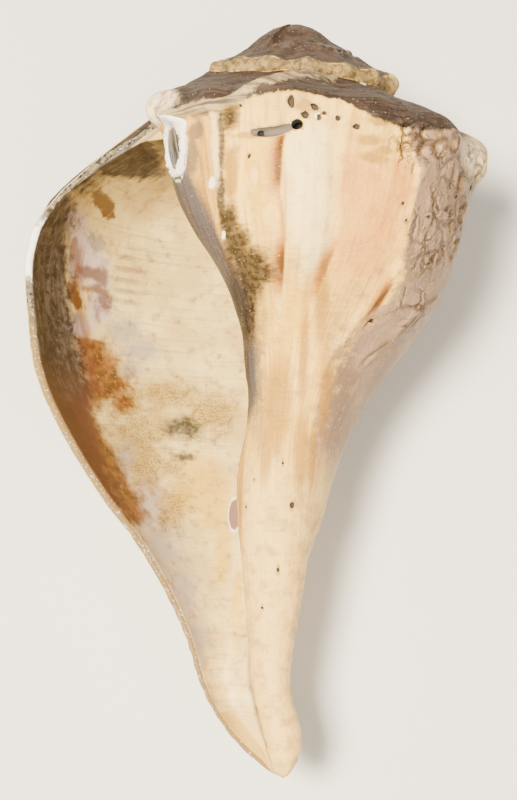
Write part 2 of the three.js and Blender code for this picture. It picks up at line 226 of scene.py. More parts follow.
FAR_OFF = 1e3


def unevenness(points, size_mm, octaves, seed):
    """Smooth random heights, about -1 to 1, for points in millimetres."""
    flat = points.reshape(-1, 3) / size_mm + seed
    heights = [noise.fractal(Vector(p), 1.0, 2.0, octaves, noise_basis="PERLIN_ORIGINAL") for p in flat]
    return np.array(heights).reshape(points.shape[:-1])


def from_line(line, here):
    """Millimetres across the surface from a line of windings and depths."""
    best = np.full(np.shape(here.w), FAR_OFF)
    for (w0, d0), (w1, d1) in zip(line, line[1:]):
        run_w, run_d = (w1 - w0) * here.r, d1 - d0
        here_w, here_d = (here.w - w0) * here.r, here.d - d0
        share = np.clip((here_w * run_w + here_d * run_d) / (run_w ** 2 + run_d ** 2), 0, 1)
        best = np.minimum(best, np.hypot(here_w - share * run_w, here_d - share * run_d))
    return best


# Lines on the front, as winding and depth: the chipped crest that climbs the ramp, the broken edge of the
# glaze beside the mouth, the folds that old lips left, the edge of the flaked outer layer and its scraps
CREST = [(5.95, 29.5), (5.67, 32), (5.24, 32.4), (5.06, 30.6), (4.91, 26.6), (4.77, 22.6), (4.3, 18.8)]
GLAZE_EDGE = [(5.24, 33), (5.27, 42), (5.26, 50), (5.3, 57), (5.38, 64), (5.34, 71), (5.4, 80)]
LEFT_FOLD = [(4.79, 43), (4.763, 52), (4.75, 60), (4.763, 70)]
RIGHT_FOLD = [(4.5, 40), (4.47, 52), (4.459, 60), (4.42, 72)]
LOW_FOLD = [(3.95, 70), (3.86, 76), (3.84, 84)]
FLAKE_EDGE = [(4.06, 34), (3.98, 40), (3.9, 46), (3.93, 53), (3.98, 60), (3.88, 68), (3.9, 76),
    (4.0, 84), (4.1, 92)]
LOW_RIB = [(3.42, 76.5), (3.45, 80), (3.46, 84), (3.44, 88)]
FLAKE_SCRAPS = [[(3.78, 50), (3.7, 56), (3.74, 62), (3.6, 66)], [(3.6, 40), (3.62, 50), (3.5, 58)],
    [(3.84, 84), (3.7, 80), (3.5, 78), (3.3, 74)], [(3.62, 92), (3.45, 84), (3.4, 76)],
    [(3.4, 44), (3.36, 60)]]
# Shallow rounded cells as winding, depth, half width, half height and how deep
CELLS = [(4.02, 36.8, 1.9, 2, 0.7), (3.9, 37.2, 2, 1.8, 0.8), (3.9, 41.8, 2.1, 2.2, 0.9),
    (4.02, 42.3, 1.8, 1.8, 0.7), (3.79, 40.2, 2.2, 2.4, 0.8), (3.68, 38, 2, 2.4, 0.6),
    (3.92, 46.5, 1.8, 2, 0.6), (3.4, 36.8, 2, 2.4, 0.8), (3.28, 40, 2, 2.6, 0.6),
    (3.5, 46, 2.4, 3, 0.5), (3.4, 53, 2.2, 3, 0.5), (3.36, 62, 2.2, 3, 0.5),
    (3.52, 64.5, 2.2, 2.6, 0.5), (4.97, 50.6, 1.7, 3.6, 0.4)]


def signed_side(line, here):
    """Positive on the right of a line that runs down the front: how far the winding falls short of it."""
    windings, depths = zip(*line)
    return np.interp(here.d, depths, windings) - here.w


def rising(x, start, over):
    return smooth((x - start) / over)


def falling(x, end, over):
    return smooth((end - x) / over)


def knob_shapes(here):
    """For each knob its height, and how near each place is to it round the shell and down it, from 0 to 1."""
    for at, high, wide in KNOBS:
        scale = growth(at)
        round_it = (here.w - at) * radius(at, KNOB_STATION * scale)
        down = (here.d / growth(here.w) - KNOB_STATION) * scale
        yield high, bump(round_it / wide), bump(down / wide)


def cell_shapes(here):
    """For each cell how deep it is, and how far out each place lies, 1 on its edge."""
    for at_w, at_d, wide, tall, deep in CELLS:
        yield deep, np.hypot((here.w - at_w) * here.r / wide, (here.d - at_d) / tall)


# Each part of the relief gives its heights in millimetres, one after the other, for the places it is given
def knobs(here):
    for high, near_round, near_down in knob_shapes(here):
        yield high * near_round * near_down


CREST_HIGH, CREST_CHIPPED, CREST_WIDE, CREST_RAGGED = 1.9, 0.5, 2.1, 0.6
GLAZE_HIGH, GLAZE_CHIPPED, GLAZE_WIDE, GLAZE_END = 0.75, 0.4, 1.3, (90, 12)
GROOVE_DEEP, GROOVE_OFF, GROOVE_WIDE, GROOVE_END = 0.45, 2.6, 1.6, (80, 12)


def crest_and_glaze(here):
    crest = from_line(CREST, here)
    high = CREST_HIGH + CREST_CHIPPED * here.fine
    yield here.front * high * bump(crest / (CREST_WIDE + CREST_RAGGED * here.rough))
    glazed = from_line(GLAZE_EDGE, here)
    high = GLAZE_HIGH + GLAZE_CHIPPED * here.fine
    yield here.front * high * bump(glazed / GLAZE_WIDE) * falling(here.d, *GLAZE_END)
    groove = signed_side(GLAZE_EDGE, here) * here.r - GROOVE_OFF
    yield -here.front * GROOVE_DEEP * bump(groove / GROOVE_WIDE) * falling(here.d, *GROOVE_END)


LEFT_SLOPE, RIGHT_SLOPE, LEAST_APART = 1.1, 3, 0.05
FOLD_TOP, FOLD_END, FOLD_HIGH, FOLD_SWELL = (38, 8), (76, 10), 0.8, 0.8
FOLD_GROOVE, FOLD_GROOVE_OFF, FOLD_GROOVE_WIDE = 0.5, 1, 1.6
LOW_FOLD_DEEP, LOW_FOLD_WIDE = 0.7, 1.5


def folds(here):
    from_left = signed_side(LEFT_FOLD, here)
    from_right = signed_side(RIGHT_FOLD, here)
    inside_left = smooth(from_left * here.r / LEFT_SLOPE + 0.5)
    inside_right = smooth(from_right * here.r / RIGHT_SLOPE + 0.5)
    span = rising(here.d, *FOLD_TOP) * falling(here.d, *FOLD_END)
    share = np.clip(from_left / np.maximum(from_left - from_right, LEAST_APART), 0, 1)
    swell = FOLD_HIGH + FOLD_SWELL * np.sin(math.pi * share)
    yield here.front * span * inside_left * (1 - inside_right) * swell
    yield -here.front * span * FOLD_GROOVE * bump((from_left * here.r + FOLD_GROOVE_OFF) / FOLD_GROOVE_WIDE)
    yield -here.front * LOW_FOLD_DEEP * bump(from_line(LOW_FOLD, here) / LOW_FOLD_WIDE)


FLAKE_STEP, FLAKE_SINK, FLAKE_WIDE, FLAKE_RAGGED = 0.85, 0.3, 0.9, 1.2
FLAKE_TOP, FLAKE_END = (30, 5), (104, 14)
FLAKE_LIP, FLAKE_LIP_OFF = 0.5, 0.8
SCRAP_RIM, SCRAP_RIM_OFF, SCRAP_DEEP, SCRAP_WIDE, SCRAP_RAGGED = 0.6, 1.1, 0.5, 0.7, 0.7


def flaked_layer(here):
    flaked = signed_side(FLAKE_EDGE, here) * here.r + FLAKE_RAGGED * here.rough
    low_end = falling(here.d, *FLAKE_END)
    step = FLAKE_STEP * smooth(flaked / FLAKE_WIDE + 0.5) - FLAKE_SINK
    yield here.front * low_end * step * rising(here.d, *FLAKE_TOP)
    yield here.front * low_end * FLAKE_LIP * bump((flaked - FLAKE_LIP_OFF) / FLAKE_WIDE)


def scraps(here):
    for scrap in FLAKE_SCRAPS:
        off = from_line(scrap, here) + SCRAP_RAGGED * here.rough
        yield SCRAP_RIM * bump((off - SCRAP_RIM_OFF) / SCRAP_WIDE) - SCRAP_DEEP * bump(off / SCRAP_WIDE)


CELL_RIM, CELL_RIM_AT, CELL_RIM_WIDE = 0.6, 1.15, 0.3
CELL_DEEPER, CELL_EDGE, CELL_SLOPE, CELL_RAGGED = 1.5, 1.1, 0.5, 0.12


def cells(here):
    for deep, smooth_off in cell_shapes(here):
        off = smooth_off + CELL_RAGGED * here.rough
        rim = CELL_RIM * bump((off - CELL_RIM_AT) / CELL_RIM_WIDE)
        yield rim - CELL_DEEPER * deep * falling(off, CELL_EDGE, CELL_SLOPE)


RIB_HIGH, RIB_WIDE, RIB_RAGGED = 0.7, 1.1, 0.3
SWELLING_AT, SWELLING_WIDE, SWELLING_TALL, SWELLING_HIGH = (4.95, 128), 6, 9, 0.7
CREASE_AT, CREASE_WAVE, CREASE_DEEP, CREASE_WIDE, CREASE_TOP = 139.5, 1.5, 0.3, 0.8, (120, 5)
THREAD_HIGH, THREAD_EVERY, THREAD_TOP = 0.13, 4.3, (150, 12)


def rib_and_pillar(here):
    rib = from_line(LOW_RIB, here) + RIB_RAGGED * here.rough
    yield RIB_HIGH * bump(rib / RIB_WIDE)
    round_it = (here.w - SWELLING_AT[0]) * here.r / SWELLING_WIDE
    yield SWELLING_HIGH * bump(np.hypot(round_it, (here.d - SWELLING_AT[1]) / SWELLING_TALL))
    crease = here.d - CREASE_AT - CREASE_WAVE * np.sin(2 * here.w)
    yield -CREASE_DEEP * bump(crease / CREASE_WIDE) * rising(here.d, *CREASE_TOP)
    yield THREAD_HIGH * np.sin(TURN * here.d / THREAD_EVERY + here.w) * rising(here.d, *THREAD_TOP)


WEAR_HIGH, WEAR_LEAST, WEAR_TOP, WEAR_FINE = 0.35, 0.5, (40, 12), 0.1
RIDGE_STATION, RIDGE_WIDE, RIDGE_FROM = 56, 6, (TURN, 0.6)
RIDGE_FINE, RIDGE_ROUGH = 0.7, 0.4


def wear(here):
    yield WEAR_HIGH * here.rough * (WEAR_LEAST + falling(here.d, *WEAR_TOP)) + WEAR_FINE * here.fine
    ridge = bump((here.d / growth(here.w) - RIDGE_STATION) / RIDGE_WIDE) * rising(here.w, *RIDGE_FROM)
    yield ridge * (RIDGE_FINE * here.fine + RIDGE_ROUGH * here.rough)


# Unevenness by size in millimetres, detail and seed, and where the front fades in and out
ROUGH, FINE = (9, 3, 3.7), (2.6, 2, 21.3)
FRONT_IN, FRONT_OUT = (-0.25, 0.3), (-0.05, 0.1)


def relief(winding, depth, points):
    here = SimpleNamespace(w=winding, d=depth, r=radius(winding, depth))
    here.rough = unevenness(points, *ROUGH)
    here.fine = unevenness(points, *FINE)
    here.front = rising(winding - math.pi, *FRONT_IN) * (1 - rising(winding - TURN, *FRONT_OUT))
    height = np.zeros(np.shape(winding))
    for part in (knobs, crest_and_glaze, folds, flaked_layer, cells, rib_and_pillar, scraps, wear):
        for some in part(here):
            height += some
    return height


def skin(winding, depth):
    turn, fall = 0.01, 0.25
    back = base(winding + turn, depth) - base(winding - turn, depth)
    down = base(winding, depth + fall) - base(winding, depth - fall)
    out = np.cross(back, down)
    out /= np.maximum(np.linalg.norm(out, axis=-1, keepdims=True), 1e-9)
    points = base(winding, depth)
    return points + out * relief(winding, depth, points)[..., None], out


# Mesh of the sheet
COLUMNS, HOLLOW_COLUMNS = 260, 64
RAMP_ROWS, LIP_ROWS, SIDE_ROWS = 44, 8, 130
CROWD_FRONT, CROWD_TIP = 0.4, 1.2
TURNS = 2.8
SPIRE_COLUMNS = round(TURNS * COLUMNS)

column_turns = np.arange(SPIRE_COLUMNS + 1) / COLUMNS
windings = TURN * column_turns + CROWD_FRONT * (1 - np.cos(TURN * column_turns))
stations = np.concatenate((np.linspace(FIRST, SUTURE, RAMP_ROWS + 1),
    np.linspace(SUTURE, CEILING, LIP_ROWS + 1)[1:],
    LENGTH - (LENGTH - CEILING) * (1 - np.linspace(0, 1, SIDE_ROWS + 1)[1:]) ** CROWD_TIP))
SUTURE_ROW = RAMP_ROWS
CEILING_ROW = RAMP_ROWS + LIP_ROWS
LAST_ROW = len(stations) - 1

vertices = []
marks = {"winding": [], "depth": [], "inside": []}
faces = []


def add_points(points, winding, depth, inside):
    shape = points.shape[:-1]
    start = sum(len(block) for block in vertices)
    vertices.append(points.reshape(-1, 3))
    for name, value in (("winding", winding), ("depth", depth), ("inside", inside)):
        marks[name].append(np.broadcast_to(value, shape).reshape(-1).astype(float))
    return start + np.arange(int(np.prod(shape))).reshape(shape)


def add_grid(index):
    """Faces of a grid of vertex numbers, columns first, seen from outside."""
    corners = index[:-1, :-1], index[1:, :-1], index[1:, 1:], index[:-1, 1:]
    faces.append(np.stack([c.reshape(-1) for c in corners], -1))


def sheet_block(first, last, rows):
    w = windings[first:last, None]
    s = stations[None, :rows + 1]
    w = w + lead(s) * np.exp(-w)
    depth = row_depth(s, w)
    points, _ = skin(w, depth)
    tip = (s == LENGTH)[..., None]
    points = np.where(tip, place(w, depth, 0.0), points)
    return points, w, depth


# Older turns come first, so that each whorl's top row lies exactly on the whorl before it
sheet = np.zeros((SPIRE_COLUMNS + 1, LAST_ROW + 1, 3))
sheet_w = np.zeros(sheet.shape[:2])
sheet_d = np.zeros(sheet.shape[:2])
ends = [SPIRE_COLUMNS + 1, 2 * COLUMNS, COLUMNS + 1, 0]
for last, first in zip(ends, ends[1:]):
    rows = LAST_ROW if first == 0 else SUTURE_ROW
    points, w, depth = sheet_block(first, last, rows)
    older = np.arange(first, last) + COLUMNS
    has_older = older <= SPIRE_COLUMNS
    pull = np.zeros((last - first, 3))
    pull[has_older] = sheet[older[has_older], SUTURE_ROW] - points[has_older, 0]
    fade = (1 - np.arange(SUTURE_ROW + 1) / SUTURE_ROW) ** 2
    points[:, :SUTURE_ROW + 1] += pull[:, None] * fade[None, :, None]
    sheet[first:last, :rows + 1] = points
    sheet_w[first:last, :rows + 1] = w
    sheet_d[first:last, :rows + 1] = depth

# The last whorl has all its rows, and the spire only those down to its suture
OUTER, LIP_EDGE, WHORL_BEFORE, HOLLOW = 0, 0.25, 0.5, 1
number = np.full(sheet.shape[:2], -1)
for part in (np.s_[:COLUMNS + 1], np.s_[COLUMNS + 1:, :SUTURE_ROW + 1]):
    number[part] = add_points(sheet[part], sheet_w[part], sheet_d[part], OUTER)
number[:COLUMNS + 1, LAST_ROW] = number[0, LAST_ROW]
glued = np.arange(SPIRE_COLUMNS + 1 - COLUMNS)
number[glued, 0] = number[glued + COLUMNS, SUTURE_ROW]
add_grid(number[:COLUMNS + 1])
add_grid(number[COLUMNS:, :SUTURE_ROW + 1])

apex_top = np.array([0, -APEX_DEPTH, 0])
apex_number = add_points(apex_top[None], windings[-1], APEX_DEPTH, OUTER)[0]
apex_rim = np.concatenate((number[SPIRE_COLUMNS - COLUMNS:, 0], number[SPIRE_COLUMNS, 1:SUTURE_ROW + 1]))

# The worn apex is a low dome, made of rings between the first whorl's edge and the apex
edge_points = np.concatenate(vertices)[apex_rim]
outer_ring = apex_rim
for share in APEX_RINGS:
    dome = apex_top + (edge_points - apex_top) * np.array([share, share ** APEX_ROUND, share])
    inner_ring = add_points(dome, windings[-1], -dome[:, 1], OUTER)
    corners = outer_ring, np.roll(outer_ring, -1), np.roll(inner_ring, -1), inner_ring
    faces.append(np.stack(corners, -1)[:, ::-1])
    outer_ring = inner_ring
corners = outer_ring, np.roll(outer_ring, -1), np.full(len(outer_ring), apex_number)
apex_fan = np.stack(corners, -1)[:, ::-1]


# Hollow, between the wall's inner side and the whorl before it
def closing(share):
    deep = DEAD_STATION * growth(DEAD_WINDING)
    top = CEILING * growth(TURN + DEAD_WINDING)
    upper = mix(top, deep, np.clip(share / DEAD_SHARE, 0, 1))
    winding = DEAD_WINDING * (1 - np.clip((share - DEAD_SHARE) / (1 - DEAD_SHARE), 0, 1))
    station = DEAD_STATION + (LENGTH - DEAD_STATION) * np.exp(-winding / DEAD_SINK)
    lower = growth(winding) * station
    return winding, np.where(share < DEAD_SHARE, upper, lower)


def wall(winding, depth):
    upper = DEEP_WALL + (LIP_WALL - DEEP_WALL) * np.exp(-winding / LIP_FLARE)
    thins = smooth((depth - WALL_THINS[0]) / (WALL_THINS[1] - WALL_THINS[0]))
    return upper + (CANAL_WALL - upper) * thins


INSET_STEPS = 17


def inset(winding, depth, thick):
    """The radius that stays a wall's thickness away from the outer side, whichever way it is measured."""
    angles = np.linspace(-math.pi / 2, math.pi / 2, INSET_STEPS)
    ways = [(thick * math.sin(a), thick * math.cos(a)) for a in angles]
    return np.min([radius(winding, depth + down) - towards for down, towards in ways], axis=0)


# Columns crowd towards the lip, and the hollow closes in a rounded end. Away from its ends its wall swells
HOLLOW_CROWD, LEAST_GAP, END_SQUARE = 1.3, 0.35, 4
SWELL, SWELL_HIGH, SWELL_FULL_GAP = (14, 2, 8.1), 0.3, 6
SWELL_FROM, SWELL_FROM_WINDING, SWELL_TO = 12, 0.2, (0.9, 0.2)
SETTLED_BY = 6
shares = np.linspace(0, 1, HOLLOW_COLUMNS + 1)[:, None] ** HOLLOW_CROWD
end, end_depth = closing(np.arange(LAST_ROW + 1)[None, :] / LAST_ROW)
s = stations[None, :]
above = CORNER_RISE * (1 - smooth((s - FIRST) / CORNER_OVER))
inner_w = end * shares + lead(s) * (1 - shares)
inner_d = mix(s + above, end_depth, shares)
thick = wall(inner_w, inner_d)
core = radius(inner_w + TURN, inner_d)
least = LEAST_GAP * (radius(inner_w, inner_d) - core)
gap = np.maximum(inset(inner_w, inner_d, thick) - core, least)
gap = gap * np.sqrt(np.maximum(1 - shares ** END_SQUARE, 0))
inner = place(inner_w, inner_d, core + gap)
swell = unevenness(inner, *SWELL)
calm = smooth(shares * SWELL_FROM) * smooth(inner_w / SWELL_FROM_WINDING) * falling(shares, *SWELL_TO)
swell = swell * calm * smooth(gap / SWELL_FULL_GAP)
radial = np.stack((-np.cos(inner_w), np.zeros_like(inner_w), -np.sin(inner_w)), -1)
inner = inner + radial * (SWELL_HIGH * swell)[..., None]

rows_left = np.arange(LAST_ROW + 1 - CEILING_ROW)[None, :]
old_end, old_end_depth = closing(rows_left / (LAST_ROW - CEILING_ROW))
old_s = stations[None, CEILING_ROW:]
older_w = TURN + old_end * shares
older_d = mix(row_depth(old_s, TURN), old_end_depth, shares)
older_skin = skin(older_w, older_d)[0]
older_skin[:, -1] = place(older_w[:, -1], older_d[:, -1], 0.0)
settled = smooth(shares * SETTLED_BY)[..., None]
seam_shift = sheet[COLUMNS, CEILING_ROW:] - older_skin[0]
older_skin = older_skin + seam_shift[None] * (1 - settled)
older_number = add_points(older_skin, older_w, older_d, WHORL_BEFORE)
older_number[0] = number[COLUMNS, CEILING_ROW:]
older_number[:, -1] = number[0, LAST_ROW]
inner_number = add_points(inner, inner_w, inner_d, HOLLOW)
inner_number[:, 0] = older_number[:, 0]
inner_number[:, LAST_ROW] = older_number[:, -1]
add_grid(older_number)
add_grid(inner_number[:HOLLOW_COLUMNS, ::-1])


def zip_lines(a, b):
    """Triangles between two lines of vertex numbers with the same ends."""
    made = []
    i = j = 0
    while i < len(a) - 1 or j < len(b) - 1:
        a_next = (i + 1) / (len(a) - 1) <= (j + 1) / (len(b) - 1)
        if j == len(b) - 1 or (a_next and i < len(a) - 1):
            made.append((a[i], b[j], a[i + 1])[::-1])
            i += 1
        else:
            made.append((a[i], b[j], b[j + 1])[::-1])
            j += 1
    return np.array(made)


dead_end = zip_lines(inner_number[HOLLOW_COLUMNS - 1], older_number[HOLLOW_COLUMNS])

# The lip's rounded edge, a little chipped
LIP_CHIPS, LIP_CHIPPED = (3.5, 3, 44.0), 0.55
outer_edge = sheet[0]
inner_edge = inner[0].copy()
inner_edge[0] = sheet[COLUMNS, CEILING_ROW]
ahead = outer_edge - sheet[1]
ahead /= np.maximum(np.linalg.norm(ahead, axis=-1, keepdims=True), 1e-9)
across = np.linspace(0, 1, LIP_ROWS + 1)[:, None, None]
lip_thick = np.linalg.norm(outer_edge - inner_edge, axis=-1)[None, :, None]
chips = unevenness(outer_edge, *LIP_CHIPS)[None, :, None]
bulge = (LIP_ROUND + LIP_CHIPPED * chips) * lip_thick * across * (1 - across)
rim = outer_edge[None] * (1 - across) + inner_edge[None] * across + ahead[None] * bulge
rim_number = add_points(rim, 0, stations[None, :], LIP_EDGE)
rim_number[0] = number[0]
rim_number[LIP_ROWS] = inner_number[0]
rim_number[:, 0] = number[COLUMNS, SUTURE_ROW:CEILING_ROW + 1]
rim_number[:, LAST_ROW] = number[0, LAST_ROW]
add_grid(rim_number[:, ::-1])

# The surface of each vertex: the outer sheet, the lip's edge, the whorl before it, or the hollow's wall
points = np.concatenate(vertices)
W = np.concatenate(marks["winding"])
D = np.concatenate(marks["depth"])
SURFACE = np.concatenate(marks["inside"])
X, Z = points[:, 0], points[:, 2]
FRONT_BEHIND_MM, FRONT_WINDINGS = -2, (3, TURN + 0.2)
outside = SURFACE == OUTER
within = SURFACE > OUTER
front = outside & (Z > FRONT_BEHIND_MM) & (W > FRONT_WINDINGS[0]) & (W < FRONT_WINDINGS[1])


def right_of(line):
    """Millimetres to the right of a line that runs down the shell, given as depths and places across."""
    return X - np.interp(D, *np.array(line, float).T)


def blots(spots):
    """Soft patches of a stain: across, depth, half width, half height. One half on each patch's edge."""
    most = np.zeros(len(points))
    for across, depth, wide, tall in spots:
        off = np.hypot((X - across) / wide, (D - depth) / tall)
        most = np.maximum(most, 1 - smooth(off / 2))
    return most


def along(line, wide):
    """A stripe of stain along a line of places across and depths, one half at its edge."""
    nearest = np.full(len(points), FAR_OFF)
    for (x0, d0), (x1, d1) in zip(line, line[1:]):
        run = np.array([x1 - x0, d1 - d0])
        share = np.clip(((X - x0) * run[0] + (D - d0) * run[1]) / (run @ run), 0, 1)
        nearest = np.minimum(nearest, np.hypot(X - x0 - share * run[0], D - d0 - share * run[1]))
    return 1 - smooth(nearest / wide / 2)


# Lines on the outside. The shoulder is winding and station, the others depth and across in millimetres
SHOULDER = [(0, 54), (3.3, 50), (3.68, 53), (3.85, 56), (4.08, 58.5), (4.25, 57.5), (4.45, 51.4),
    (4.69, 51), (4.84, 52), (4.99, 54.5), (5.14, 58), (5.4, 61), (6.28, 61), (6.5, 49), (13, 47)]
GLAZE_RIDGE = [(30.9, -20), (36.8, -19.3), (43.9, -19.3), (50.8, -19.8), (55.5, -18.9), (58.9, -18.3),
    (65.7, -16.1), (71.3, -14.1), (80, -11.5), (95, -9)]
BAND_EDGE = [(40, -28), (47, -26), (53, -22.6), (60.5, -18.8), (67.5, -14.6), (74.4, -11), (85, -7),
    (100, -5.6), (110, -6)]
PEELED_EDGE = [(35, 25.9), (37.8, 27), (40.4, 28.8), (44.2, 30.4), (46.4, 31.8), (49.4, 31.4),
    (56.3, 30.3), (61.2, 29.5), (65.9, 28.8), (69.5, 28.1), (75.5, 26), (83.8, 18.5), (90, 14),
    (97.6, 10.8), (105.3, 8.4), (113, 7), (125, 6.8), (140, 7)]
LEFT_CREASE = [(41.3, -2.4), (44.9, -3), (51.9, -2.9), (55.4, -3), (60, -1.8), (65.6, -1.3), (75.7, -1.3)]
RIGHT_CREASE = [(42, 8.8), (48, 10), (53.9, 10.8), (59.7, 11.6), (66.5, 11.5), (69.9, 10.3),
    (75.7, 8.2), (81.4, 6.6)]
THIRD_CREASE = [(74.1, 26.4), (77, 25.1), (79.8, 23.4), (82.1, 22.1)]
# Stripes as across and depth
UPPER_CREVICE = [(-18.4, 34.7), (-17.6, 41.7), (-17.8, 48.8), (-17.6, 54)]
CREVICE = [(-17.8, 51), (-17.4, 56.5), (-16.4, 61.5), (-14.2, 66), (-11, 71.8), (-10.2, 78.6), (-9.5, 86)]
CHALK_STROKE = [(13, 15.9), (15.4, 18.2), (18.1, 20)]
# Patches as across, depth, half width and half height
SHEEN_PATCHES = [(3.4, 47, 6, 9), (4.6, 58, 5.4, 9), (6, 68, 3.6, 6)]
BLUSH_PATCHES = [(17, 53, 7, 9), (22, 60, 6, 8), (17, 67, 7, 6), (27, 50, 3, 7)]
CREVICE_PATCHES = [(-15.3, 61, 2, 3.4), (-13, 66, 3, 3.4), (-9.5, 70.6, 4, 3.2), (-8.8, 75, 2.6, 3.2),
    (-9, 82, 1.3, 6), (-16, 36, 2, 3), (-6.5, 73, 3, 2.2)]
CHALK_PATCHES = [(5.8, 36.2, 1.2, 0.9), (-19.8, 51.5, 0.9, 1.4), (-16.5, 63.5, 0.5, 0.9)]
OUTSIDE_STAINS = {
    "pale_knob": [(-35, 27.5, 5, 4), (47, 38, 3.5, 4.5)],
    "cracked": [(40, 56, 5, 9), (36, 66, 5, 5), (41, 44, 5, 6), (33, 78, 4, 5), (31, 60, 2, 4),
        (29, 40, 5, 5), (48, 40, 4, 6)],
}
FRONT_STAINS_AND_SHADE = {
    # low_band_painted_shade: painted shade on the lower part of the taupe band
    "low_band_painted_shade": [(-13, 84, 3, 11), (-11, 100, 2, 12)],
    "olive": [(18.6, 41.4, 3.4, 1.6), (22.5, 43.3, 3, 1), (19.3, 45.5, 3.5, 1.4), (-11.9, 41, 4.6, 0.9),
        (-15.5, 33, 2.6, 1.4), (20, 36, 3, 1.4), (27, 35.5, 3, 1.5), (-15, 50, 2, 6), (3, 34, 3, 1.6)],
    "yellow": [(-6, 84, 3, 6), (3, 83, 4, 7), (-1, 96, 2, 10), (1, 110, 2.5, 6), (-8, 49, 4, 9),
        (9, 73, 1.5, 5)],
    "amber": [(-1, 104, 3, 10), (5.5, 116, 2, 9), (-3.5, 116, 1.6, 8), (9, 80, 1.5, 8),
        (11, 100, 1.5, 10), (-1, 112, 2, 5), (8.5, 118, 1, 8), (5, 92, 1, 10)],
    "smudge": [(-24.5, 38, 2, 2.4), (-25.4, 44, 1.6, 5), (-22, 33.6, 2, 1.2), (-29, 33, 2.5, 1.5)],
    # veil: partly a mauve-grey tint, partly painted shade on the pillar's sides and the lower body's right
    "veil": [(-7.5, 88, 2.6, 12), (-6, 104, 2, 9), (14, 108, 4, 14), (10.5, 126, 3, 12),
        (8, 142, 2.6, 14), (15, 92, 4, 10)],
}

# Inside the mouth: the dark zone's edge as depth and across, the rust stripe, and the patches
DARK_EDGE = [(38, -36), (42, -50), (48.8, -58.7), (58.5, -61), (72.2, -60.1), (86.2, -57.1),
    (100.4, -52.7), (112, -49.5), (122.6, -45.5), (133, -39.5), (145, -34), (160, -27)]
RUST_STRIPE = [(-54.5, 106), (-50.6, 113), (-46, 120.5), (-41.5, 128), (-37.4, 134.5)]
RUST_PATCHES = [(-54, 87.5, 4, 3), (-51, 92.5, 4.6, 4.5), (-47.5, 98, 4, 4), (-52, 101, 4, 4.5),
    (-44, 103, 2.6, 2.6)]
MOUTH_STAINS = {
    "mouth_orange": [(-52.3, 46.8, 2.8, 1.9), (-51.6, 48.6, 1.6, 1.6), (-59.7, 72, 1.2, 3.4),
        (-58, 75, 1.2, 2.6)],
    "mouth_mauve": [(-59.2, 53.5, 2.4, 3.4), (-57.6, 57.5, 3.2, 3.4), (-58.4, 64, 2.6, 5),
        (-54.6, 59.5, 2, 4), (-53.2, 66, 2.2, 6), (-52.4, 75, 2.6, 5), (-57.4, 82, 2.4, 3)],
    "low_mauve": [(-41.5, 121, 2.4, 8), (-35, 132, 3.6, 8), (-31, 144, 5, 9), (-25, 156, 4, 8),
        (-20, 168, 3, 7)],
    "mouth_brown": [(-52.5, 66.5, 2, 3), (-52.2, 73, 1.6, 4), (-56, 66, 2.4, 2), (-54, 70, 3, 1)],
    "mouth_grey": [(-45.5, 80.9, 4, 4), (-41, 86.4, 5, 3.4), (-43.2, 92.8, 2.6, 2.6)],
    "grey_spots": [(-29.4, 109, 3.2, 2.8), (-25, 109.4, 3, 3.2), (-27, 107.6, 3.4, 2),
        (-26, 117.3, 2.6, 1.4)],
    "mouth_ochre": [(-38.6, 111, 6, 7), (-32, 99, 7, 4), (-20, 104, 7, 6), (-29.3, 120.5, 3, 3),
        (-43, 103, 4, 6), (-36, 120, 5, 7), (-28, 132, 4, 6)],
    "mouth_yellow": [(-21.4, 123, 5.5, 6), (-16.9, 130, 4.5, 8), (-14, 143, 2.2, 9),
        (-9.5, 157, 1.6, 9), (-24, 127, 4, 5)],
    "scar": [(-54.2, 56.8, 2.1, 2.8)],
    "chip": [(-11.2, 133, 1.7, 4.6)],
    "ribbed": [(-46.6, 66, 3.6, 9)],
}
# Orange in the folds: its strength, the fold, the depths it runs between and how wide it is
ORANGE_CREASES = [(1, LEFT_CREASE, 39, 55, 2.8), (0.5, LEFT_CREASE, 50, 72, 1.2),
    (1, LEFT_CREASE, 66, 77, 2.8), (0.85, RIGHT_CREASE, 67, 78, 3.4), (1, THIRD_CREASE, 73, 83, 3)]
# What a mark holds where it doesn't apply: millimetres far off on either side of its edge
FAR = 99
CREASE_ENDS, CREASE_STOPS = 9, 0.7


def crease(line, top, bottom, wide):
    """A tint that lies against the left side of a fold and stops sharply on it."""
    off = right_of(line)
    ends = smooth((D - top) / CREASE_ENDS + 0.5) * smooth((bottom - D) / CREASE_ENDS + 0.5)
    return ends * bump(np.minimum(off, 0) / wide) * (1 - smooth(off / CREASE_STOPS))


def only_where(mask, values):
    return np.where(mask, values, -FAR)


# Knobs that stand high enough to have been rubbed are paler, partly bare lime and partly painted highlight on
# their tips
RUBBED_ABOVE = 1.2
station = D / growth(W)
all_over = SimpleNamespace(w=W, d=D, r=radius(W, D))
knob_wear_and_highlight = np.zeros(len(points))
for high, near_round, near_down in knob_shapes(all_over):
    rubbed = np.clip(high / 2 - RUBBED_ABOVE, 0, 1)
    knob_wear_and_highlight = np.maximum(knob_wear_and_highlight, rubbed * near_round * near_down)

STAINED_RIM_AT, STAINED_RIM_WIDE = 1.1, 0.24
cell_edge = np.zeros(len(points))
cell_floor = np.zeros(len(points))
for _, cell_off in cell_shapes(all_over):
    cell_edge = np.maximum(cell_edge, bump((cell_off - STAINED_RIM_AT) / STAINED_RIM_WIDE))
    cell_floor = np.maximum(cell_floor, 1 - smooth(cell_off))

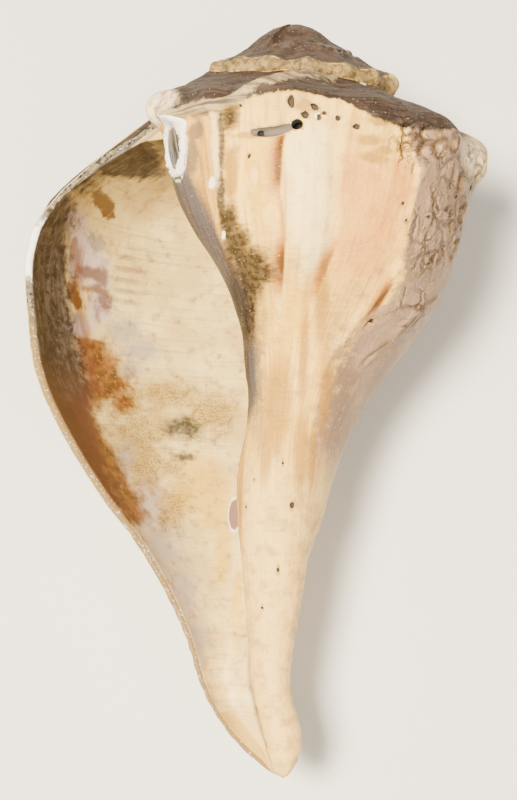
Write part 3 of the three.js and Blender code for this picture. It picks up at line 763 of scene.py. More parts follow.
# The lime ring stands left of the glaze, and its own ways across and down are measured from its middle
RING_WINDING, RING_DEPTH = 5.8, 39.8
RING_REACH = 34.5
RING_WIDE, RING_TALL = 6.6, 7
RING_FLOOR, SMEAR_WIDE, RING_NEAR = 0.54, 0.34, 0.6
beside_ring = outside & (np.abs(W - RING_WINDING) < RING_NEAR)
ring_off = np.hypot((W - RING_WINDING) * RING_REACH / RING_WIDE, (D - RING_DEPTH) / RING_TALL)

# The marks of the outside, each for every vertex. A pair says where one fades in or out and over how much
SPIRE_END, CONE_FADE_IN, CONE_LOW = (13.5, 0.8), (9.2, 0.8), (50, 3)
STRIPE_STATION, STRIPE_WIDE, STRIPE_IN = 55, 7, (0.3, 0.5)
BAND_FROM, BAND_SHIFT, BAND_SHIFTED = 40, 7, (102, 18)
PEELED_BLUR, PEELED_BLURRED, PEELED_BEHIND, PEELED_THERE = 4, (62, 14), 3.4, 8
CREVICE_WIDE, UPPER_CREVICE_WIDE, UPPER_CREVICE_SHARE, CHALK_WIDE = 0.9, 0.7, 0.8, 0.55
BRIGHT_EDGE_WIDE, BRIGHT_EDGE_END = 1.1, (58, 10)
CELLS_FADE, CELLS_FADED = 0.8, (42, 4)
SHEEN_SOFT, BLUSH_SOFT = 0.6, 0.8
PILLAR_IN, HIDDEN_IN = (108, 26), (3.5, 0.5)
spire_end = rising(W, *SPIRE_END)
band_right = BAND_SHIFT * rising(D, *BAND_SHIFTED)
peeled = right_of(PEELED_EDGE)
stripe = bump((station - STRIPE_STATION) / STRIPE_WIDE)
bright_edge = bump(from_line(GLAZE_EDGE, all_over) / BRIGHT_EDGE_WIDE)
painted_marks = {
    "above_shoulder": (np.interp(W, *np.array(SHOULDER, float).T) - station) * growth(W),
    "ridge": stripe * rising(W - TURN, *STRIPE_IN) * (1 - spire_end),
    "cone": rising(W, *CONE_FADE_IN) * np.maximum(falling(station, *CONE_LOW), spire_end),
    "crest": np.where(front, from_line(CREST, all_over), FAR),
    # knob tips: partly rubbed pale, partly painted highlight
    "knob": knob_wear_and_highlight * outside,
    "left_of_glaze_ridge": only_where(front, -right_of(GLAZE_RIDGE)),
    # the taupe band: partly its own colour, partly painted shade where the wall turns into the mouth
    "left_of_band_edge": only_where(front & (D > BAND_FROM), -right_of(BAND_EDGE) - band_right),
    "dark_stain": front * np.maximum.reduce([along(CREVICE, CREVICE_WIDE),
        UPPER_CREVICE_SHARE * along(UPPER_CREVICE, UPPER_CREVICE_WIDE), blots(CREVICE_PATCHES)]),
    "glaze_ridge": bright_edge * front * falling(D, *BRIGHT_EDGE_END),
    "cell_edge": cell_edge * front * (1 - CELLS_FADE * rising(D, *CELLS_FADED)),
    "cell_floor": cell_floor * front,
    "orange": front * np.maximum.reduce([strength * crease(*where) for strength, *where in ORANGE_CREASES]),
    # the raised ridge between the folds: partly its own pale lime, partly a painted sheen
    "pale_ridge_and_painted_sheen": blots(SHEEN_PATCHES) * front * smooth(right_of(LEFT_CREASE) / SHEEN_SOFT + 0.5),
    "blush": blots(BLUSH_PATCHES) * front * (1 - smooth(peeled / BLUSH_SOFT)),
    "chalk": np.maximum(along(CHALK_STROKE, CHALK_WIDE), blots(CHALK_PATCHES)) * front,
    "right_of_peeled_edge": np.where(front, peeled / (1 + PEELED_BLUR * rising(D, *PEELED_BLURRED)),
        np.where(W < PEELED_BEHIND, PEELED_THERE, -FAR)),
    "pillar": rising(D, *PILLAR_IN) * outside,
    "ring_core": np.where(beside_ring, 1 - smooth(ring_off * RING_FLOOR), 0),
    "ring_smear": np.where(beside_ring, bump((ring_off - 1) / SMEAR_WIDE), 0),
    "hidden_side": falling(W, *HIDDEN_IN) * outside,
}

# The marks inside the mouth, on the lip's edge and on the whorl before
lip_edge = SURFACE == LIP_EDGE
RED_LINE_OFF, RED_LINE_WIDE, RED_LINE_ENDS = 1.4, 1.3, (50, 110)
DARK_FROM, DARK_TOP, DARK_TOP_SLOPE, DARK_TOP_ACROSS = 34, 36, 0.1, 38
RUST_IN, RUST_STRIPE_WIDE = (84.4, 0.9), 2.2
WHITE_RIM, WHITE_RIM_TALL, CANAL_END = 65, 9, (184.5, 1)
rust_spots = blots(RUST_PATCHES) * rising(D, *RUST_IN)
red_line = [(x + RED_LINE_OFF, d) for d, x in DARK_EDGE if RED_LINE_ENDS[0] < d < RED_LINE_ENDS[1]]
painted_marks |= {
    "beyond_dark_edge": only_where(within & (D > DARK_FROM), -right_of(DARK_EDGE)),
    # top of the mouth: dark streaked stain with painted shade under the ceiling
    "mouth_top_stain_and_shade": only_where(within, DARK_TOP + DARK_TOP_SLOPE * (X + DARK_TOP_ACROSS) - D),
    "red_line": along(red_line, RED_LINE_WIDE) * within,
    "white_rim": bump((D - WHITE_RIM) / WHITE_RIM_TALL) * lip_edge,
    "mouth_rust": np.maximum(rust_spots, along(RUST_STRIPE, RUST_STRIPE_WIDE)) * within,
    "canal_end": rising(D, *CANAL_END) * within,
    "lip_edge": lip_edge * 1.0,
    "whorl_before": (SURFACE == WHORL_BEFORE) * 1.0,
}
for stains, mask in ((OUTSIDE_STAINS, outside), (FRONT_STAINS_AND_SHADE, front), (MOUTH_STAINS, within)):
    painted_marks |= {name: blots(spots) * mask for name, spots in stains.items()}

# Turn the points into the part's own directions, flatten the resting places and keep within the box
turned = np.array(lie.to_3x3())


def in_part(rows):
    laid = rows @ turned.T + np.array(APEX_PLACE_MM)
    laid[:, 2] = np.maximum(laid[:, 2], 0)
    return np.clip(laid, np.array(cad_low) / MM, np.array(cad_high) / MM)


all_faces = [tuple(int(i) for i in face) for block in faces for face in block]
all_faces += [tuple(int(i) for i in face) for face in np.concatenate((apex_fan, dead_end))]


def without_repeats(face):
    kept = [v for k, v in enumerate(face) if v != face[k - 1]]
    return kept if len(set(kept)) == len(kept) and len(kept) > 2 else None


all_faces = [face for face in map(without_repeats, all_faces) if face]
used = np.unique(np.concatenate([np.array(face) for face in all_faces]))
renumber = np.full(len(points), -1)
renumber[used] = np.arange(len(used))


def new_object(name, rows_mm, corner_lists):
    mesh = bpy.data.meshes.new(name)
    mesh.from_pydata((in_part(rows_mm) * MM).tolist(), [], [[int(c) for c in face] for face in corner_lists])
    made = bpy.data.objects.new(name, mesh)
    bpy.context.collection.objects.link(made)
    for polygon in mesh.polygons:
        polygon.use_smooth = True
    return made


def write_mark(mesh, name, values):
    kind = "FLOAT" if values.ndim == 1 else "FLOAT_VECTOR"
    attribute = mesh.attributes.new(name, kind, "POINT")
    field = "value" if values.ndim == 1 else "vector"
    attribute.data.foreach_set(field, np.ascontiguousarray(values, np.float32).ravel())


# Streaks run in millimetres round the shell, at one middling reach for all of it, and down it
LINES_REACH = 40
shell = new_object("Worn_whelk", points[used], [renumber[list(face)] for face in all_faces])
for name, values in painted_marks.items():
    write_mark(shell.data, name, values[used])
write_mark(shell.data, "place_mm", points[used])
write_mark(shell.data, "lines_mm", np.stack((LINES_REACH * W, D, np.zeros_like(D)), -1)[used])
face_surface = SURFACE[used]
loops = np.zeros(len(shell.data.loops), int)
shell.data.loops.foreach_get("vertex_index", loops)
starts = np.zeros(len(shell.data.polygons), int)
shell.data.polygons.foreach_get("loop_start", starts)
inner_faces = np.maximum.reduceat(face_surface[loops], starts) > OUTER
shell.data.polygons.foreach_set("material_index", inner_faces.astype(np.int32))


def linear(hex_colour):
    parts = [int(hex_colour[i:i + 2], 16) / 255 for i in (0, 2, 4)]
    return [p / 12.92 if p <= 0.04045 else ((p + 0.055) / 1.055) ** 2.4 for p in parts] + [1]


def add(kind, settings=None, sockets=None):
    """Adds one node to the material being made: its settings, and each input's value or what feeds it."""
    node = tree.nodes.new("ShaderNode" + kind)
    for name, value in (settings or {}).items():
        setattr(node, name, value)
    for name, value in (sockets or {}).items():
        if isinstance(value, bpy.types.NodeSocket):
            tree.links.new(value, node.inputs[name])
        else:
            node.inputs[name].default_value = value
    return node


def new_material(name):
    material = bpy.data.materials.new(name)
    material.use_nodes = True
    return material, material.node_tree, material.node_tree.nodes["Principled BSDF"]


def attribute(name, kind="Fac"):
    return add("Attribute", {"attribute_name": name}).outputs[kind]


def mottle(size_mm, detail=3, frame_of="place_mm", stretch=(1, 1, 1), rough=0.55):
    """Noise with features of one size in millimetres, drawn out by stretch, in the shell's own directions."""
    scaled = add("VectorMath", {"operation": "DIVIDE"}, {0: attribute(frame_of, "Vector"),
        1: [size_mm * s for s in stretch]})
    return add("TexNoise", {}, {"Vector": scaled.outputs[0], "Scale": 1.0, "Detail": detail,
        "Roughness": rough}).outputs["Fac"]


def ranged(value, low, high, to_low=0.0, to_high=1.0, kind="SMOOTHSTEP"):
    return add("MapRange", {"interpolation_type": kind}, {"Value": value, "From Min": low,
        "From Max": high, "To Min": to_low, "To Max": to_high}).outputs["Result"]


def ragged(mark, edge, soft, noise_out=None, amount=0.0):
    """How far a mark is past an edge, from 0 to 1, its edge broken up by noise."""
    value = attribute(mark) if isinstance(mark, str) else mark
    if noise_out is not None:
        value = add("Math", {"operation": "MULTIPLY_ADD"}, {0: noise_out, 1: amount, 2: value}).outputs[0]
        edge = edge + amount / 2
    return ranged(value, edge - soft / 2, edge + soft / 2)


def painted(under, over, share, strength=1.0):
    """A colour laid over another by a share. Either may be a hex colour or an output."""
    under, over = [linear(c) if isinstance(c, str) else c for c in (under, over)]
    if strength != 1.0:
        share = both(share, strength)
    return add("Mix", {"data_type": "RGBA"}, {0: share, 6: under, 7: over}).outputs[2]


def two_tone(under, over, *where):
    return painted(under, over, ragged(*where))


def both(first, second):
    return add("Math", {"operation": "MULTIPLY"}, {0: first, 1: second}).outputs[0]


def layered(colour, layers):
    """Lays colours over one another, each as the colour, a share or what ragged takes, and a strength."""
    for over, *where, strength in layers:
        share = where[0] if len(where) == 1 else ragged(*where)
        colour = painted(colour, over, share, strength)
    return colour


def bumped(rows):
    """Bumps on top of one another, each as its strength, its height in millimetres and its pattern."""
    under = {}
    for strength, high_mm, pattern in rows:
        laid = add("Bump", {}, {"Strength": strength, "Distance": high_mm * MM, "Height": pattern} | under)
        under = {"Normal": laid.outputs["Normal"]}
    tree.links.new(under["Normal"], surface.inputs["Normal"])


LIME_IOR = 1.53


def finished(colour, rough, specular):
    """Joins the colour and the roughness. What is the same all over is set on its own socket."""
    tree.links.new(colour, surface.inputs["Base Color"])
    tree.links.new(rough, surface.inputs["Roughness"])
    surface.inputs["Specular IOR Level"].default_value = specular
    surface.inputs["IOR"].default_value = LIME_IOR


# Sea-worn outer lime: aragonite grown in layers and dulled by the sea. Cream with fine growth streaks, satin,
# brown on the ramp, glazed beside the mouth, and grey-mauve on the right, where its outer layer is gone.
outer_lime, tree, surface = new_material("Sea-worn outer lime")
speck = mottle(0.9, 2)
patch = mottle(4, 5, rough=0.62)
fray = mottle(1.6, 5, rough=0.65)
broad = mottle(18, 3)
streaks = mottle(1, 5, "lines_mm", (1.6, 22, 1))
wide_streaks = mottle(1, 4, "lines_mm", (5, 50, 1))
spiral = mottle(1, 5, "lines_mm", (24, 0.8, 1))
stain_break = mottle(1, 4, "lines_mm", (3.4, 0.8, 1))
# fine pale specks, painted as glints
painted_glints = mottle(0.55, 1)

on_pillar = attribute("pillar")
off_pillar = add("Math", {"operation": "SUBTRACT", "use_clamp": True}, {0: 1.0, 1: on_pillar}).outputs[0]
ramp = ragged("above_shoulder", 0.2, 0.8, fray, 2.2)
ridge = ragged("ridge", 0.45, 0.4, fray, 1.0)
glaze = ragged("left_of_glaze_ridge", 0.0, 0.8)
smudged = both(glaze, ragged("smudge", 0.5, 0.5, patch, 0.8))
veil_and_painted_side_shade = both(ragged("veil", 0.45, 1, patch, 0.6), ragged(fray, 0.42, 0.4))
hidden = both(ragged("hidden_side", 0.5, 1), ragged(broad, 0.45, 0.4))
crest_band = ranged(attribute("crest"), 0.6, 3.0, 1.0, 0.0, "LINEAR")

# cracks round rounded scales, on the bare layer only, drawn at three times the real tenth of a millimetre
CRACK_BEND, CRACK_BEND_SCALE, SCALES_PER_MM = (6, 6, 6), 0.16, 0.15
place_mm = attribute("place_mm", "Vector")
crack_bend = add("TexNoise", {}, {"Vector": place_mm, "Scale": CRACK_BEND_SCALE, "Detail": 3.0})
scale_place = add("VectorMath", {"operation": "MULTIPLY_ADD"}, {0: crack_bend.outputs["Color"],
    1: CRACK_BEND, 2: place_mm}).outputs[0]
from_crack = add("TexVoronoi", {"feature": "DISTANCE_TO_EDGE"}, {"Vector": scale_place,
    "Scale": SCALES_PER_MM}).outputs["Distance"]
cracked = ragged("cracked", 0.5, 0.5, patch, 1.4)
crack = both(ranged(from_crack, 0.015, 0.055, 1.0, 0.0), cracked)
scales = both(ranged(from_crack, 0.0, 0.16), cracked)

bare = layered(two_tone("927A6E", "6E5A50", broad, 0.5, 0.35), [
    ("B79A78", patch, 0.58, 0.16, 0.4),
    ("4A3A34", wide_streaks, 0.6, 0.2, 0.5),
])
brown = layered(two_tone("32261F", "4C3E36", spiral, 0.52, 0.25), [
    ("181513", patch, 0.58, 0.15, 0.7),
    ("5E4F40", fray, 0.66, 0.08, 0.4),
])
colour = layered(two_tone("DDB352", "F4CC6C", wide_streaks, 0.5, 0.3), [
    ("AE8848", both(ragged(streaks, 0.6, 0.2), off_pillar), 0.5),
    ("CFA04A", patch, 0.58, 0.2, 0.45),
    ("DFB02C", "yellow", 0.5, 0.8, fray, 0.8, 0.6),
    ("DC8C46", "blush", 0.45, 1.3, patch, 0.8, 0.7),
    # pale ridge between the folds, partly its own colour and partly a painted sheen
    ("F7DF98", "pale_ridge_and_painted_sheen", 0.45, 0.9, fray, 0.5, 0.9),
    ("9C7628", "olive", 0.5, 0.6, patch, 1.2, 0.75),
    ("A5641F", "orange", 0.35, 0.7, fray, 0.25, 0.85),
    ("4A2A0C", "orange", 0.75, 0.4, fray, 0.4, 0.85),
    # bare grey-mauve layer, with streaks of what is left of the cream layer
    (bare, "right_of_peeled_edge", 0.3, 1.0, patch, 3.0, 0.92),
    # mauve-grey veil, partly a tint and partly painted shade on the pillar's sides and the lower body's right
    ("6E5A4C", veil_and_painted_side_shade, 0.65),
    ("7F6953", hidden, 1),
    ("EBC678", "pillar", 0.5, 1.0, patch, 1.2, 0.85),
    ("B48A50", both(on_pillar, ragged(patch, 0.54, 0.2)), 0.4),
    ("996A24", "amber", 0.35, 1.0, streaks, 0.9, 0.75),
    # glaze beside the mouth, and the taupe band along it, partly grey-taupe lime and partly painted shade
    # where the wall turns into the mouth
    (two_tone("DCAC50", "A07434", wide_streaks, 0.52, 0.25), glaze, 1),
    ("635544", smudged, 0.8),
    (two_tone("5A5556", "424144", streaks, 0.5, 0.4), "left_of_band_edge", 0.4, 3.0, patch, 1.5, 0.95),
    # dark stain in the crevice, drawn out along the whorl
    ("7A5A34", "dark_stain", 0.3, 0.7, patch, 1.3, 0.6),
    (two_tone("4A3C28", "0E0C0A", fray, 0.5, 0.14), "dark_stain", 0.45, 0.8, stain_break, 1.1, 0.9),
    # painted shade on the lower part of the taupe band
    ("2C2624", "low_band_painted_shade", 0.4, 0.8, streaks, 0.7, 0.85),
    # bright ridge of the glaze, and shallow cells with brown rims where small animals sat
    ("EBD0A0", "glaze_ridge", 0.5, 0.5, fray, 1.8, 0.55),
    ("E0BC84", "cell_floor", 0.4, 0.6, 0.7),
    ("5A4028", "cell_edge", 0.55, 0.5, fray, 0.9, 0.75),
    # ramp, spire, knobs rubbed pale with painted highlight on their tips, and crest with painted highlights
    # and shadow lines
    (brown, ramp, 1),
    (two_tone("7A6848", "30281F", fray, 0.52, 0.2), ridge, 0.9),
    (two_tone("4A3A30", "2C221C", patch, 0.5, 0.3), "cone", 0.5, 0.4, patch, 0.4, 1),
    ("C7B07B", "knob", 0.3, 0.5, patch, 0.5, 0.9),
    (two_tone("F4DDB6", "A88A64", fray, 0.58, 0.2), "pale_knob", 0.5, 0.5, patch, 0.8, 0.9),
    # the crest's pale and dark streaks: partly its layered lime, partly painted highlights and shadow lines
    # between the layers
    (two_tone("B29B74", "5A4C3E", spiral, 0.54, 0.2), crest_band, 0.5, 0.4, patch, 2.2, 0.85),
    # chalk strokes, and pale specks painted as glints
    ("F7F0CC", "chalk", 0.5, 0.3, fray, 1.0, 1),
    ("F7D7B1", painted_glints, 0.74, 0.05, 0.5),
    # lime smeared round the ring, and its grey marbled floor
    ("EDEBE4", "ring_smear", 0.5, 0.3, fray, 0.9, 0.9),
    (two_tone("77726E", "24211F", streaks, 0.5, 0.1), "ring_core", 0.6, 0.2, fray, 0.5, 0.95),
    ("33251C", crack, 0.6),
])

# the ramp and the ridge are duller than the satin rest
DULL = 0.65
satin = ranged(patch, 0.3, 0.7, 0.34, 0.52, "LINEAR")
dull = add("Math", {"operation": "MAXIMUM"}, {0: ramp, 1: ridge}).outputs[0]
worn = add("Mix", {}, {0: dull, 2: satin, 3: DULL}).outputs[0]
finished(colour, worn, 0.15)
bumped([(0.5, 0.3, speck), (0.8, 1, scales), (0.5, 0.6, fray), (0.35, 0.6, spiral),
    (0.25, 0.6, both(streaks, off_pillar))])
shell.data.materials.append(outer_lime)

# Glazed lime of the mouth: smooth, laid down last by the animal. Pale cream and half glossy, ribbed along the
# whorl, and stained dark brown, rust and mauve near the lip by what grew and settled there. Painted shade
# darkens the top of the mouth, over its dark streaks.
mouth_lime, tree, surface = new_material("Glazed lime of the mouth")
speck = mottle(0.7, 2)
dots = mottle(0.55, 3)
patch = mottle(3.2, 5, rough=0.62)
fray = mottle(1.5, 5, rough=0.65)
broad = mottle(14, 3)
streaks = mottle(1, 5, "lines_mm", (1.2, 14, 1))
spiral = mottle(1, 5, "lines_mm", (22, 0.9, 1))

# ribs run along the whorl, each a few millimetres wide, and waver by up to two
RIB_WAVER, RIBS_PER_MM = 2.0, 1.9
down = add("SeparateXYZ", {}, {0: attribute("lines_mm", "Vector")}).outputs["Y"]
bent = add("Math", {"operation": "MULTIPLY_ADD"}, {0: patch, 1: RIB_WAVER, 2: down}).outputs[0]
wave = add("Math", {"operation": "SINE"}, {0: both(bent, RIBS_PER_MM)}).outputs[0]
ribs = both(ragged(wave, 0.2, 1.6), ragged("ribbed", 0.4, 0.8, patch, 1.0))
ochre_dots = both(ragged("mouth_ochre", 0.5, 0.9, patch, 1.2), ragged(dots, 0.52, 0.2))
stained = ragged("beyond_dark_edge", 0.2, 3.4, patch, 5.0)

rust = layered(two_tone("7C4C22", "45270F", patch, 0.5, 0.25), [("A8763A", fray, 0.6, 0.15, 0.6)])
dark = layered(two_tone("3E3634", "625652", streaks, 0.52, 0.2), [
    ("171314", patch, 0.52, 0.16, 0.85),
    ("7E7270", fray, 0.6, 0.12, 0.6),
    ("6A4632", down, 100, 24, patch, 16, 1),
])
lip_colour = layered(two_tone("70664F", "28231E", fray, 0.53, 0.15), [
    ("80683C", down, 85, 16, 1),
    ("DDE3F7", speck, 0.64, 0.1, 0.5),
    ("EFECE2", "white_rim", 0.5, 0.3, fray, 0.9, 1),
])
colour = layered(two_tone("EAD38E", "CBAF70", broad, 0.5, 0.4), [
    ("A08858", spiral, 0.6, 0.15, 0.45),
    ("6E5F54", ribs, 0.5),
    ("96918A", "mouth_grey", 0.45, 0.9, patch, 0.9, 0.75),
    ("DBAE38", "mouth_yellow", 0.45, 1.0, patch, 0.6, 0.8),
    ("C2AEB0", "mouth_mauve", 0.45, 0.7, fray, 1.2, 0.85),
    ("A99C97", "low_mauve", 0.4, 0.9, patch, 1.2, 0.8),
    ("A88638", "mouth_ochre", 0.45, 1.0, patch, 1.4, 0.65),
    ("5E4820", ochre_dots, 0.6),
    ("60402F", "mouth_brown", 0.4, 0.7, patch, 1.4, 0.8),
    ("96662E", "mouth_rust", 0.3, 0.9, patch, 1.2, 0.5),
    (rust, "mouth_rust", 0.42, 0.8, patch, 1.1, 0.9),
    ("6E4229", "red_line", 0.5, 0.6, streaks, 1.2, 0.7),
    ("5E3614", "mouth_orange", 0.5, 0.3, fray, 0.9, 0.9),
    ("7F7358", "scar", 0.5, 0.3, fray, 1.0, 0.6),
    (dark, stained, 0.95),
    # top of the mouth: dark streaked stain with painted shade under the ceiling
    (two_tone("352E2C", "6C615C", spiral, 0.5, 0.2), "mouth_top_stain_and_shade", 0.0, 12.0, patch, 10.0, 0.8),
    (two_tone("4A4846", "141414", fray, 0.5, 0.2), "grey_spots", 0.5, 0.9, fray, 1.1, 0.85),
    ("F4E6CC", "chip", 0.4, 0.1, 0.9),
    ("7E5B52", "chip", 0.52, 0.1, 0.95),
    ("BE9A4B", "canal_end", 0.5, 0.3, 0.8),
    (two_tone("5B544C", "413D3A", broad, 0.5, 0.3), "whorl_before", 0.5, 0.8, 0.7),
    (lip_colour, "lip_edge", 0.75, 0.5, 1),
])
# the stain near the lip is a dull crust on the half glossy glaze
finished(colour, ranged(stained, 0.0, 1.0, 0.34, 0.62, "LINEAR"), 0.2)
bumped([(0.35, 0.3, fray), (0.4, 0.8, ribs), (0.3, 0.6, spiral)])
shell.data.materials.append(mouth_lime)

# Bored lime: the bare walls of pits that sponges and worms ate into the shell. Chalky and matt, dark brown in
# a shallow pit, nearly black in a deep hole, grey where silt settled, white where a worm laid its own lime.
MATT = 0.8
BORED_LIMES = [("Bored lime", "4A3724", "1C1611"), ("Deep bore", "120F0E", "060505"),
    ("Silted bore", "7A7064", "342D27"), ("Chalky worm lime", "F2F0EA", "D5CFC4")]
BORED, DEEP, SILTED, CHALKY = 2, 3, 4, 5
for name, pale_hex, dark_hex in BORED_LIMES:
    material, tree, surface = new_material(name)
    fray = mottle(1.2, 4)
    tree.links.new(two_tone(pale_hex, dark_hex, fray, 0.5, 0.3), surface.inputs["Base Color"])
    surface.inputs["Roughness"].default_value = MATT
    bumped([(0.6, 0.4, fray)])
    shell.data.materials.append(material)

# Pits as winding, depth, radius, how far the ball's middle stands out, and its length for its width
PITS = [(4.734, 32.9, 0.9, 0.1, 1.7), (4.6, 33.9, 0.7, 0, 1.5), (4.54, 35.4, 0.45, 0, 1),
    (4.57, 36.6, 0.5, 0.1, 1.4), (4.46, 36.5, 0.55, 0, 1.3), (4.346, 38.3, 0.7, 0.1, 1.2),
    (5.05, 33, 0.35, 0, 1), (5.0, 46.3, 0.6, 0.1, 1), (4.65, 36.2, 1.0, 0.5, 1), (3.97, 55.2, 0.4, 0, 1),
    (3.94, 59, 0.35, 0, 1), (3.82, 82.9, 0.8, 0.2, 1), (4.62, 119.7, 0.3, 0, 1), (5.31, 124.3, 0.25, 0, 1),
    (5.54, 131.3, 0.35, 0.1, 1), (4.35, 130.4, 0.9, 0.5, 1), (4.61, 147.2, 0.4, 0.1, 1.4),
    (5.12, 157.1, 0.4, 0.2, 1.3), (3.52, 50, 0.5, 0, 1), (3.6, 54, 0.4, 0, 1), (3.38, 48.5, 0.5, 0, 1.3),
    (3.62, 67.5, 0.6, 0.2, 1), (3.3, 56, 0.6, 0, 1.2), (3.76, 57, 0.4, 0, 1), (3.25, 45, 0.7, 0.1, 1)]
PIT_STEPS, PIT_DENTS, PIT_DENT_SIZE, PIT_LEAN = 3, 0.3, 1.4, 0.3
TRENCH_ENDS = [(4.955, 40.3), (4.75, 39.4)]
TRENCH_SAG, TRENCH_RADIUS, TRENCH_STANDS, TRENCH_SEED = 0.5, 1.25, 0.1, 7
DEEP_IN_TRENCH, DEEP_SEED = (4.93, 40.8, 0.9, -0.8, 1), 50
HOLE_AT, HOLE_RADIUS, HOLE_REACH, HOLE_SIDES, HOLE_OVAL = (4.697, 38.7), 1.35, 5, 24, 0.08


def set_on(winding, depth, above):
    """The place above the surface and the way it faces, in the part's own millimetres and directions."""
    spots, out = skin(np.array([winding]), np.array([float(depth)]))
    middle = spots[0] + out[0] * above
    return Vector(turned @ middle + np.array(APEX_PLACE_MM)), Vector(turned @ out[0])


def ball(r, seed):
    """Corners and faces of an uneven ball about nought, in millimetres."""
    lump = bmesh.new()
    bmesh.ops.create_icosphere(lump, subdivisions=PIT_STEPS, radius=r)
    for vertex in lump.verts:
        vertex.co *= 1 + PIT_DENTS * noise.noise(vertex.co / r * PIT_DENT_SIZE + Vector((seed, 0, 0)))
    corners = [v.co.copy() for v in lump.verts]
    sides = [[v.index for v in f.verts] for f in lump.faces]
    lump.free()
    return corners, sides


def pit(winding, depth, r, above, long, seed):
    middle, out = set_on(winding, depth, above)
    corners, sides = ball(r, seed)
    way = out.cross(Vector((math.cos(seed), math.sin(seed), PIT_LEAN))).normalized()
    return [middle + c + way * (c @ way) * (long - 1) for c in corners], sides


def merged(lumps):
    corners, sides = [], []
    for some, their in lumps:
        sides += [[len(corners) + i for i in face] for face in their]
        corners += some
    return corners, sides


def combined(name, lump, slot, operation):
    """Cuts a closed lump out of the shell, or adds it, and gives the new faces one of its materials."""
    corners, sides = lump
    mesh = bpy.data.meshes.new(name)
    mesh.from_pydata([c * MM for c in corners], [], sides)
    for material in shell.data.materials:
        mesh.materials.append(material)
    for polygon in mesh.polygons:
        polygon.material_index = slot
        polygon.use_smooth = True
    tool = bpy.data.objects.new(name, mesh)
    bpy.context.collection.objects.link(tool)
    change = shell.modifiers.new(name, "BOOLEAN")
    change.operation = operation
    change.solver = "MANIFOLD"
    change.object = tool
    bpy.context.view_layer.objects.active = shell
    bpy.context.view_layer.update()
    bpy.ops.object.modifier_apply(modifier=change.name)
    bpy.data.objects.remove(tool, do_unlink=True)


def trench():
    """An uneven ball drawn out between the trench's two ends, sagging a little on the way."""
    first, last = [set_on(*end, TRENCH_STANDS)[0] for end in TRENCH_ENDS]
    run = last - first
    corners, sides = ball(TRENCH_RADIUS, TRENCH_SEED)
    drawn = []
    for c in corners:
        share = float(smooth(0.5 + 0.5 * (c @ run.normalized()) / TRENCH_RADIUS))
        drawn.append(first + run * share + c + Vector((0, -TRENCH_SAG, 0)) * math.sin(math.pi * share))
    return drawn, sides


def hole():
    """A slightly oval rod that stands square to the surface and goes through it."""
    middle, out = set_on(*HOLE_AT, 0)
    straight = out.to_track_quat("Z", "Y").to_matrix()
    rings = []
    for end in (-HOLE_REACH, HOLE_REACH):
        for k in range(HOLE_SIDES):
            angle = TURN * k / HOLE_SIDES
            uneven = HOLE_RADIUS * (1 + HOLE_OVAL * math.sin(2 * angle + 1))
            at_rim = Vector((uneven * math.cos(angle), uneven * math.sin(angle), end))
            rings.append(middle + straight @ at_rim)
    following = [(k + 1) % HOLE_SIDES for k in range(HOLE_SIDES)]
    sides = [[k, after, HOLE_SIDES + after, HOLE_SIDES + k] for k, after in enumerate(following)]
    sides += [list(range(HOLE_SIDES))[::-1], list(range(HOLE_SIDES, 2 * HOLE_SIDES))]
    return rings, sides


# Lime ring
# A crust of white lime that a tube worm or a barnacle left beside the glaze, an uneven oval wall grown onto
# the shell. It is chalky and bright, and thickest on one side, where a spur stands out.
RING_STEPS, RING_SIDES = 110, 16
RING_WALL, RING_STANDS = 1.3, 0.8
SPUR_AT, SPUR_WIDE, SPUR_OUT = math.pi + 0.5, 0.2, 1.6
CRUMBS, CRUMBLY = (1.2, 3, 61.0), 0.9
# Waves round the ring as size, number and start
RING_WAVES, WALL_WAVES = [(0.1, 2, 0.6), (0.06, 3, 2)], [(0.25, 3, 1), (0.15, 7, 0)]


def wavy(angle, waves):
    return sum((size * np.sin(number * angle + start) for size, number, start in waves), 1)


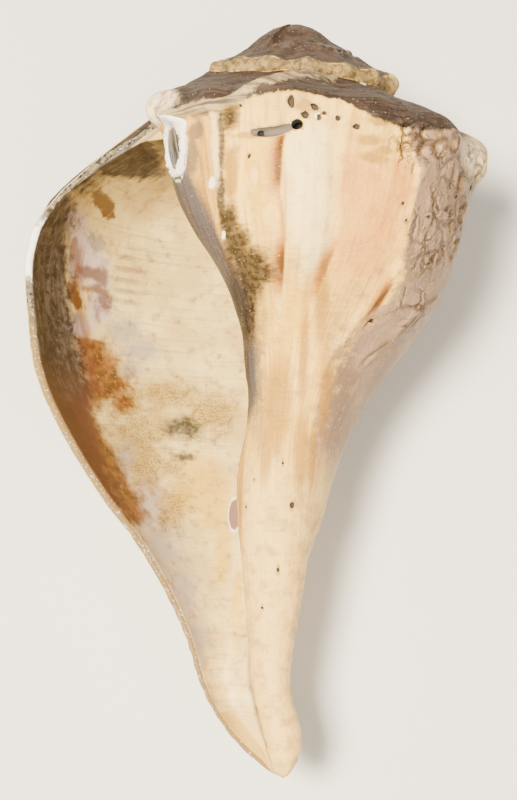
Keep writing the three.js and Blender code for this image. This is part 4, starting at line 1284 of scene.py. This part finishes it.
def lime_ring():
    round_it = np.linspace(0, TURN, RING_STEPS, endpoint=False)[:, None]
    across_wall = np.linspace(0, TURN, RING_SIDES, endpoint=False)[None, :]
    wobble = wavy(round_it, RING_WAVES)
    wall_wide = RING_WALL * wavy(round_it, WALL_WAVES) + SPUR_OUT * bump((round_it - SPUR_AT) / SPUR_WIDE)
    reach = wall_wide * np.cos(across_wall)
    a = (RING_WIDE * wobble + reach) * np.cos(round_it)
    b = (RING_TALL * wobble + reach) * np.sin(round_it)
    spots, out = skin(RING_WINDING + a / RING_REACH, RING_DEPTH + b)
    crumbs = unevenness(spots, *CRUMBS)
    spots = spots + out * (RING_STANDS * np.sin(across_wall) * (1 + CRUMBLY * crumbs))[..., None]
    rows = spots.reshape(-1, 3) @ turned.T + np.array(APEX_PLACE_MM)
    number = np.arange(RING_STEPS * RING_SIDES).reshape(RING_STEPS, RING_SIDES)
    next_step, next_side = np.roll(number, -1, 0), np.roll(number, -1, 1)
    sides = np.stack([g.reshape(-1) for g in (number, next_step, np.roll(next_step, -1, 1), next_side)], -1)
    middles = rows[sides].mean(1)
    facings = np.cross(rows[sides[:, 2]] - rows[sides[:, 0]], rows[sides[:, 3]] - rows[sides[:, 1]])
    if (middles * facings).sum() < 0:
        sides = sides[:, ::-1]
    return [Vector(r) for r in rows], sides.tolist()


combined("ring", lime_ring(), CHALKY, "UNION")
combined("pits", merged([pit(*values, seed) for seed, values in enumerate(PITS)]), BORED, "DIFFERENCE")
combined("trench", trench(), SILTED, "DIFFERENCE")
combined("hole", hole(), DEEP, "DIFFERENCE")
combined("deep", pit(*DEEP_IN_TRENCH, DEEP_SEED), DEEP, "DIFFERENCE")

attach(shell, "root")
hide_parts("whelk_shell")

# Floor and light, warm and soft as in a room
FLOOR_WIDE_M, FLOOR_PAINT, FLOOR_MATT = 6, (0.7, 0.7, 0.69, 1), 0.9
ROOM_WHITE, ROOM_STRENGTH = (1, 0.96, 0.9, 1), 0.45
LAMP_WHITE = (1, 0.87, 0.66)
LAMPS = {"Key": ((-0.24, -0.1, 0.95), 0.25, 46), "Fill": ((0.35, -0.4, 0.95), 0.8, 9)}

bpy.ops.mesh.primitive_plane_add(size=FLOOR_WIDE_M)
floor = bpy.context.object
floor.name = "Floor"
paint, _, surface = new_material("Pale matt floor")
surface.inputs["Base Color"].default_value = FLOOR_PAINT
surface.inputs["Roughness"].default_value = FLOOR_MATT
floor.data.materials.append(paint)

world = bpy.data.worlds.new("Studio")
bpy.context.scene.world = world
world.use_nodes = True
room = world.node_tree.nodes["Background"]
room.inputs["Color"].default_value = ROOM_WHITE
room.inputs["Strength"].default_value = ROOM_STRENGTH

for name, (place_m, size_m, watts) in LAMPS.items():
    light = bpy.data.lights.new(name, "AREA")
    light.size = size_m
    light.energy = watts
    light.color = LAMP_WHITE
    lamp = bpy.data.objects.new(name, light)
    bpy.context.collection.objects.link(lamp)
    lamp.location = place_m
    lamp.rotation_mode = "QUATERNION"
    lamp.rotation_quaternion = Vector(place_m).to_track_quat("Z", "Y")
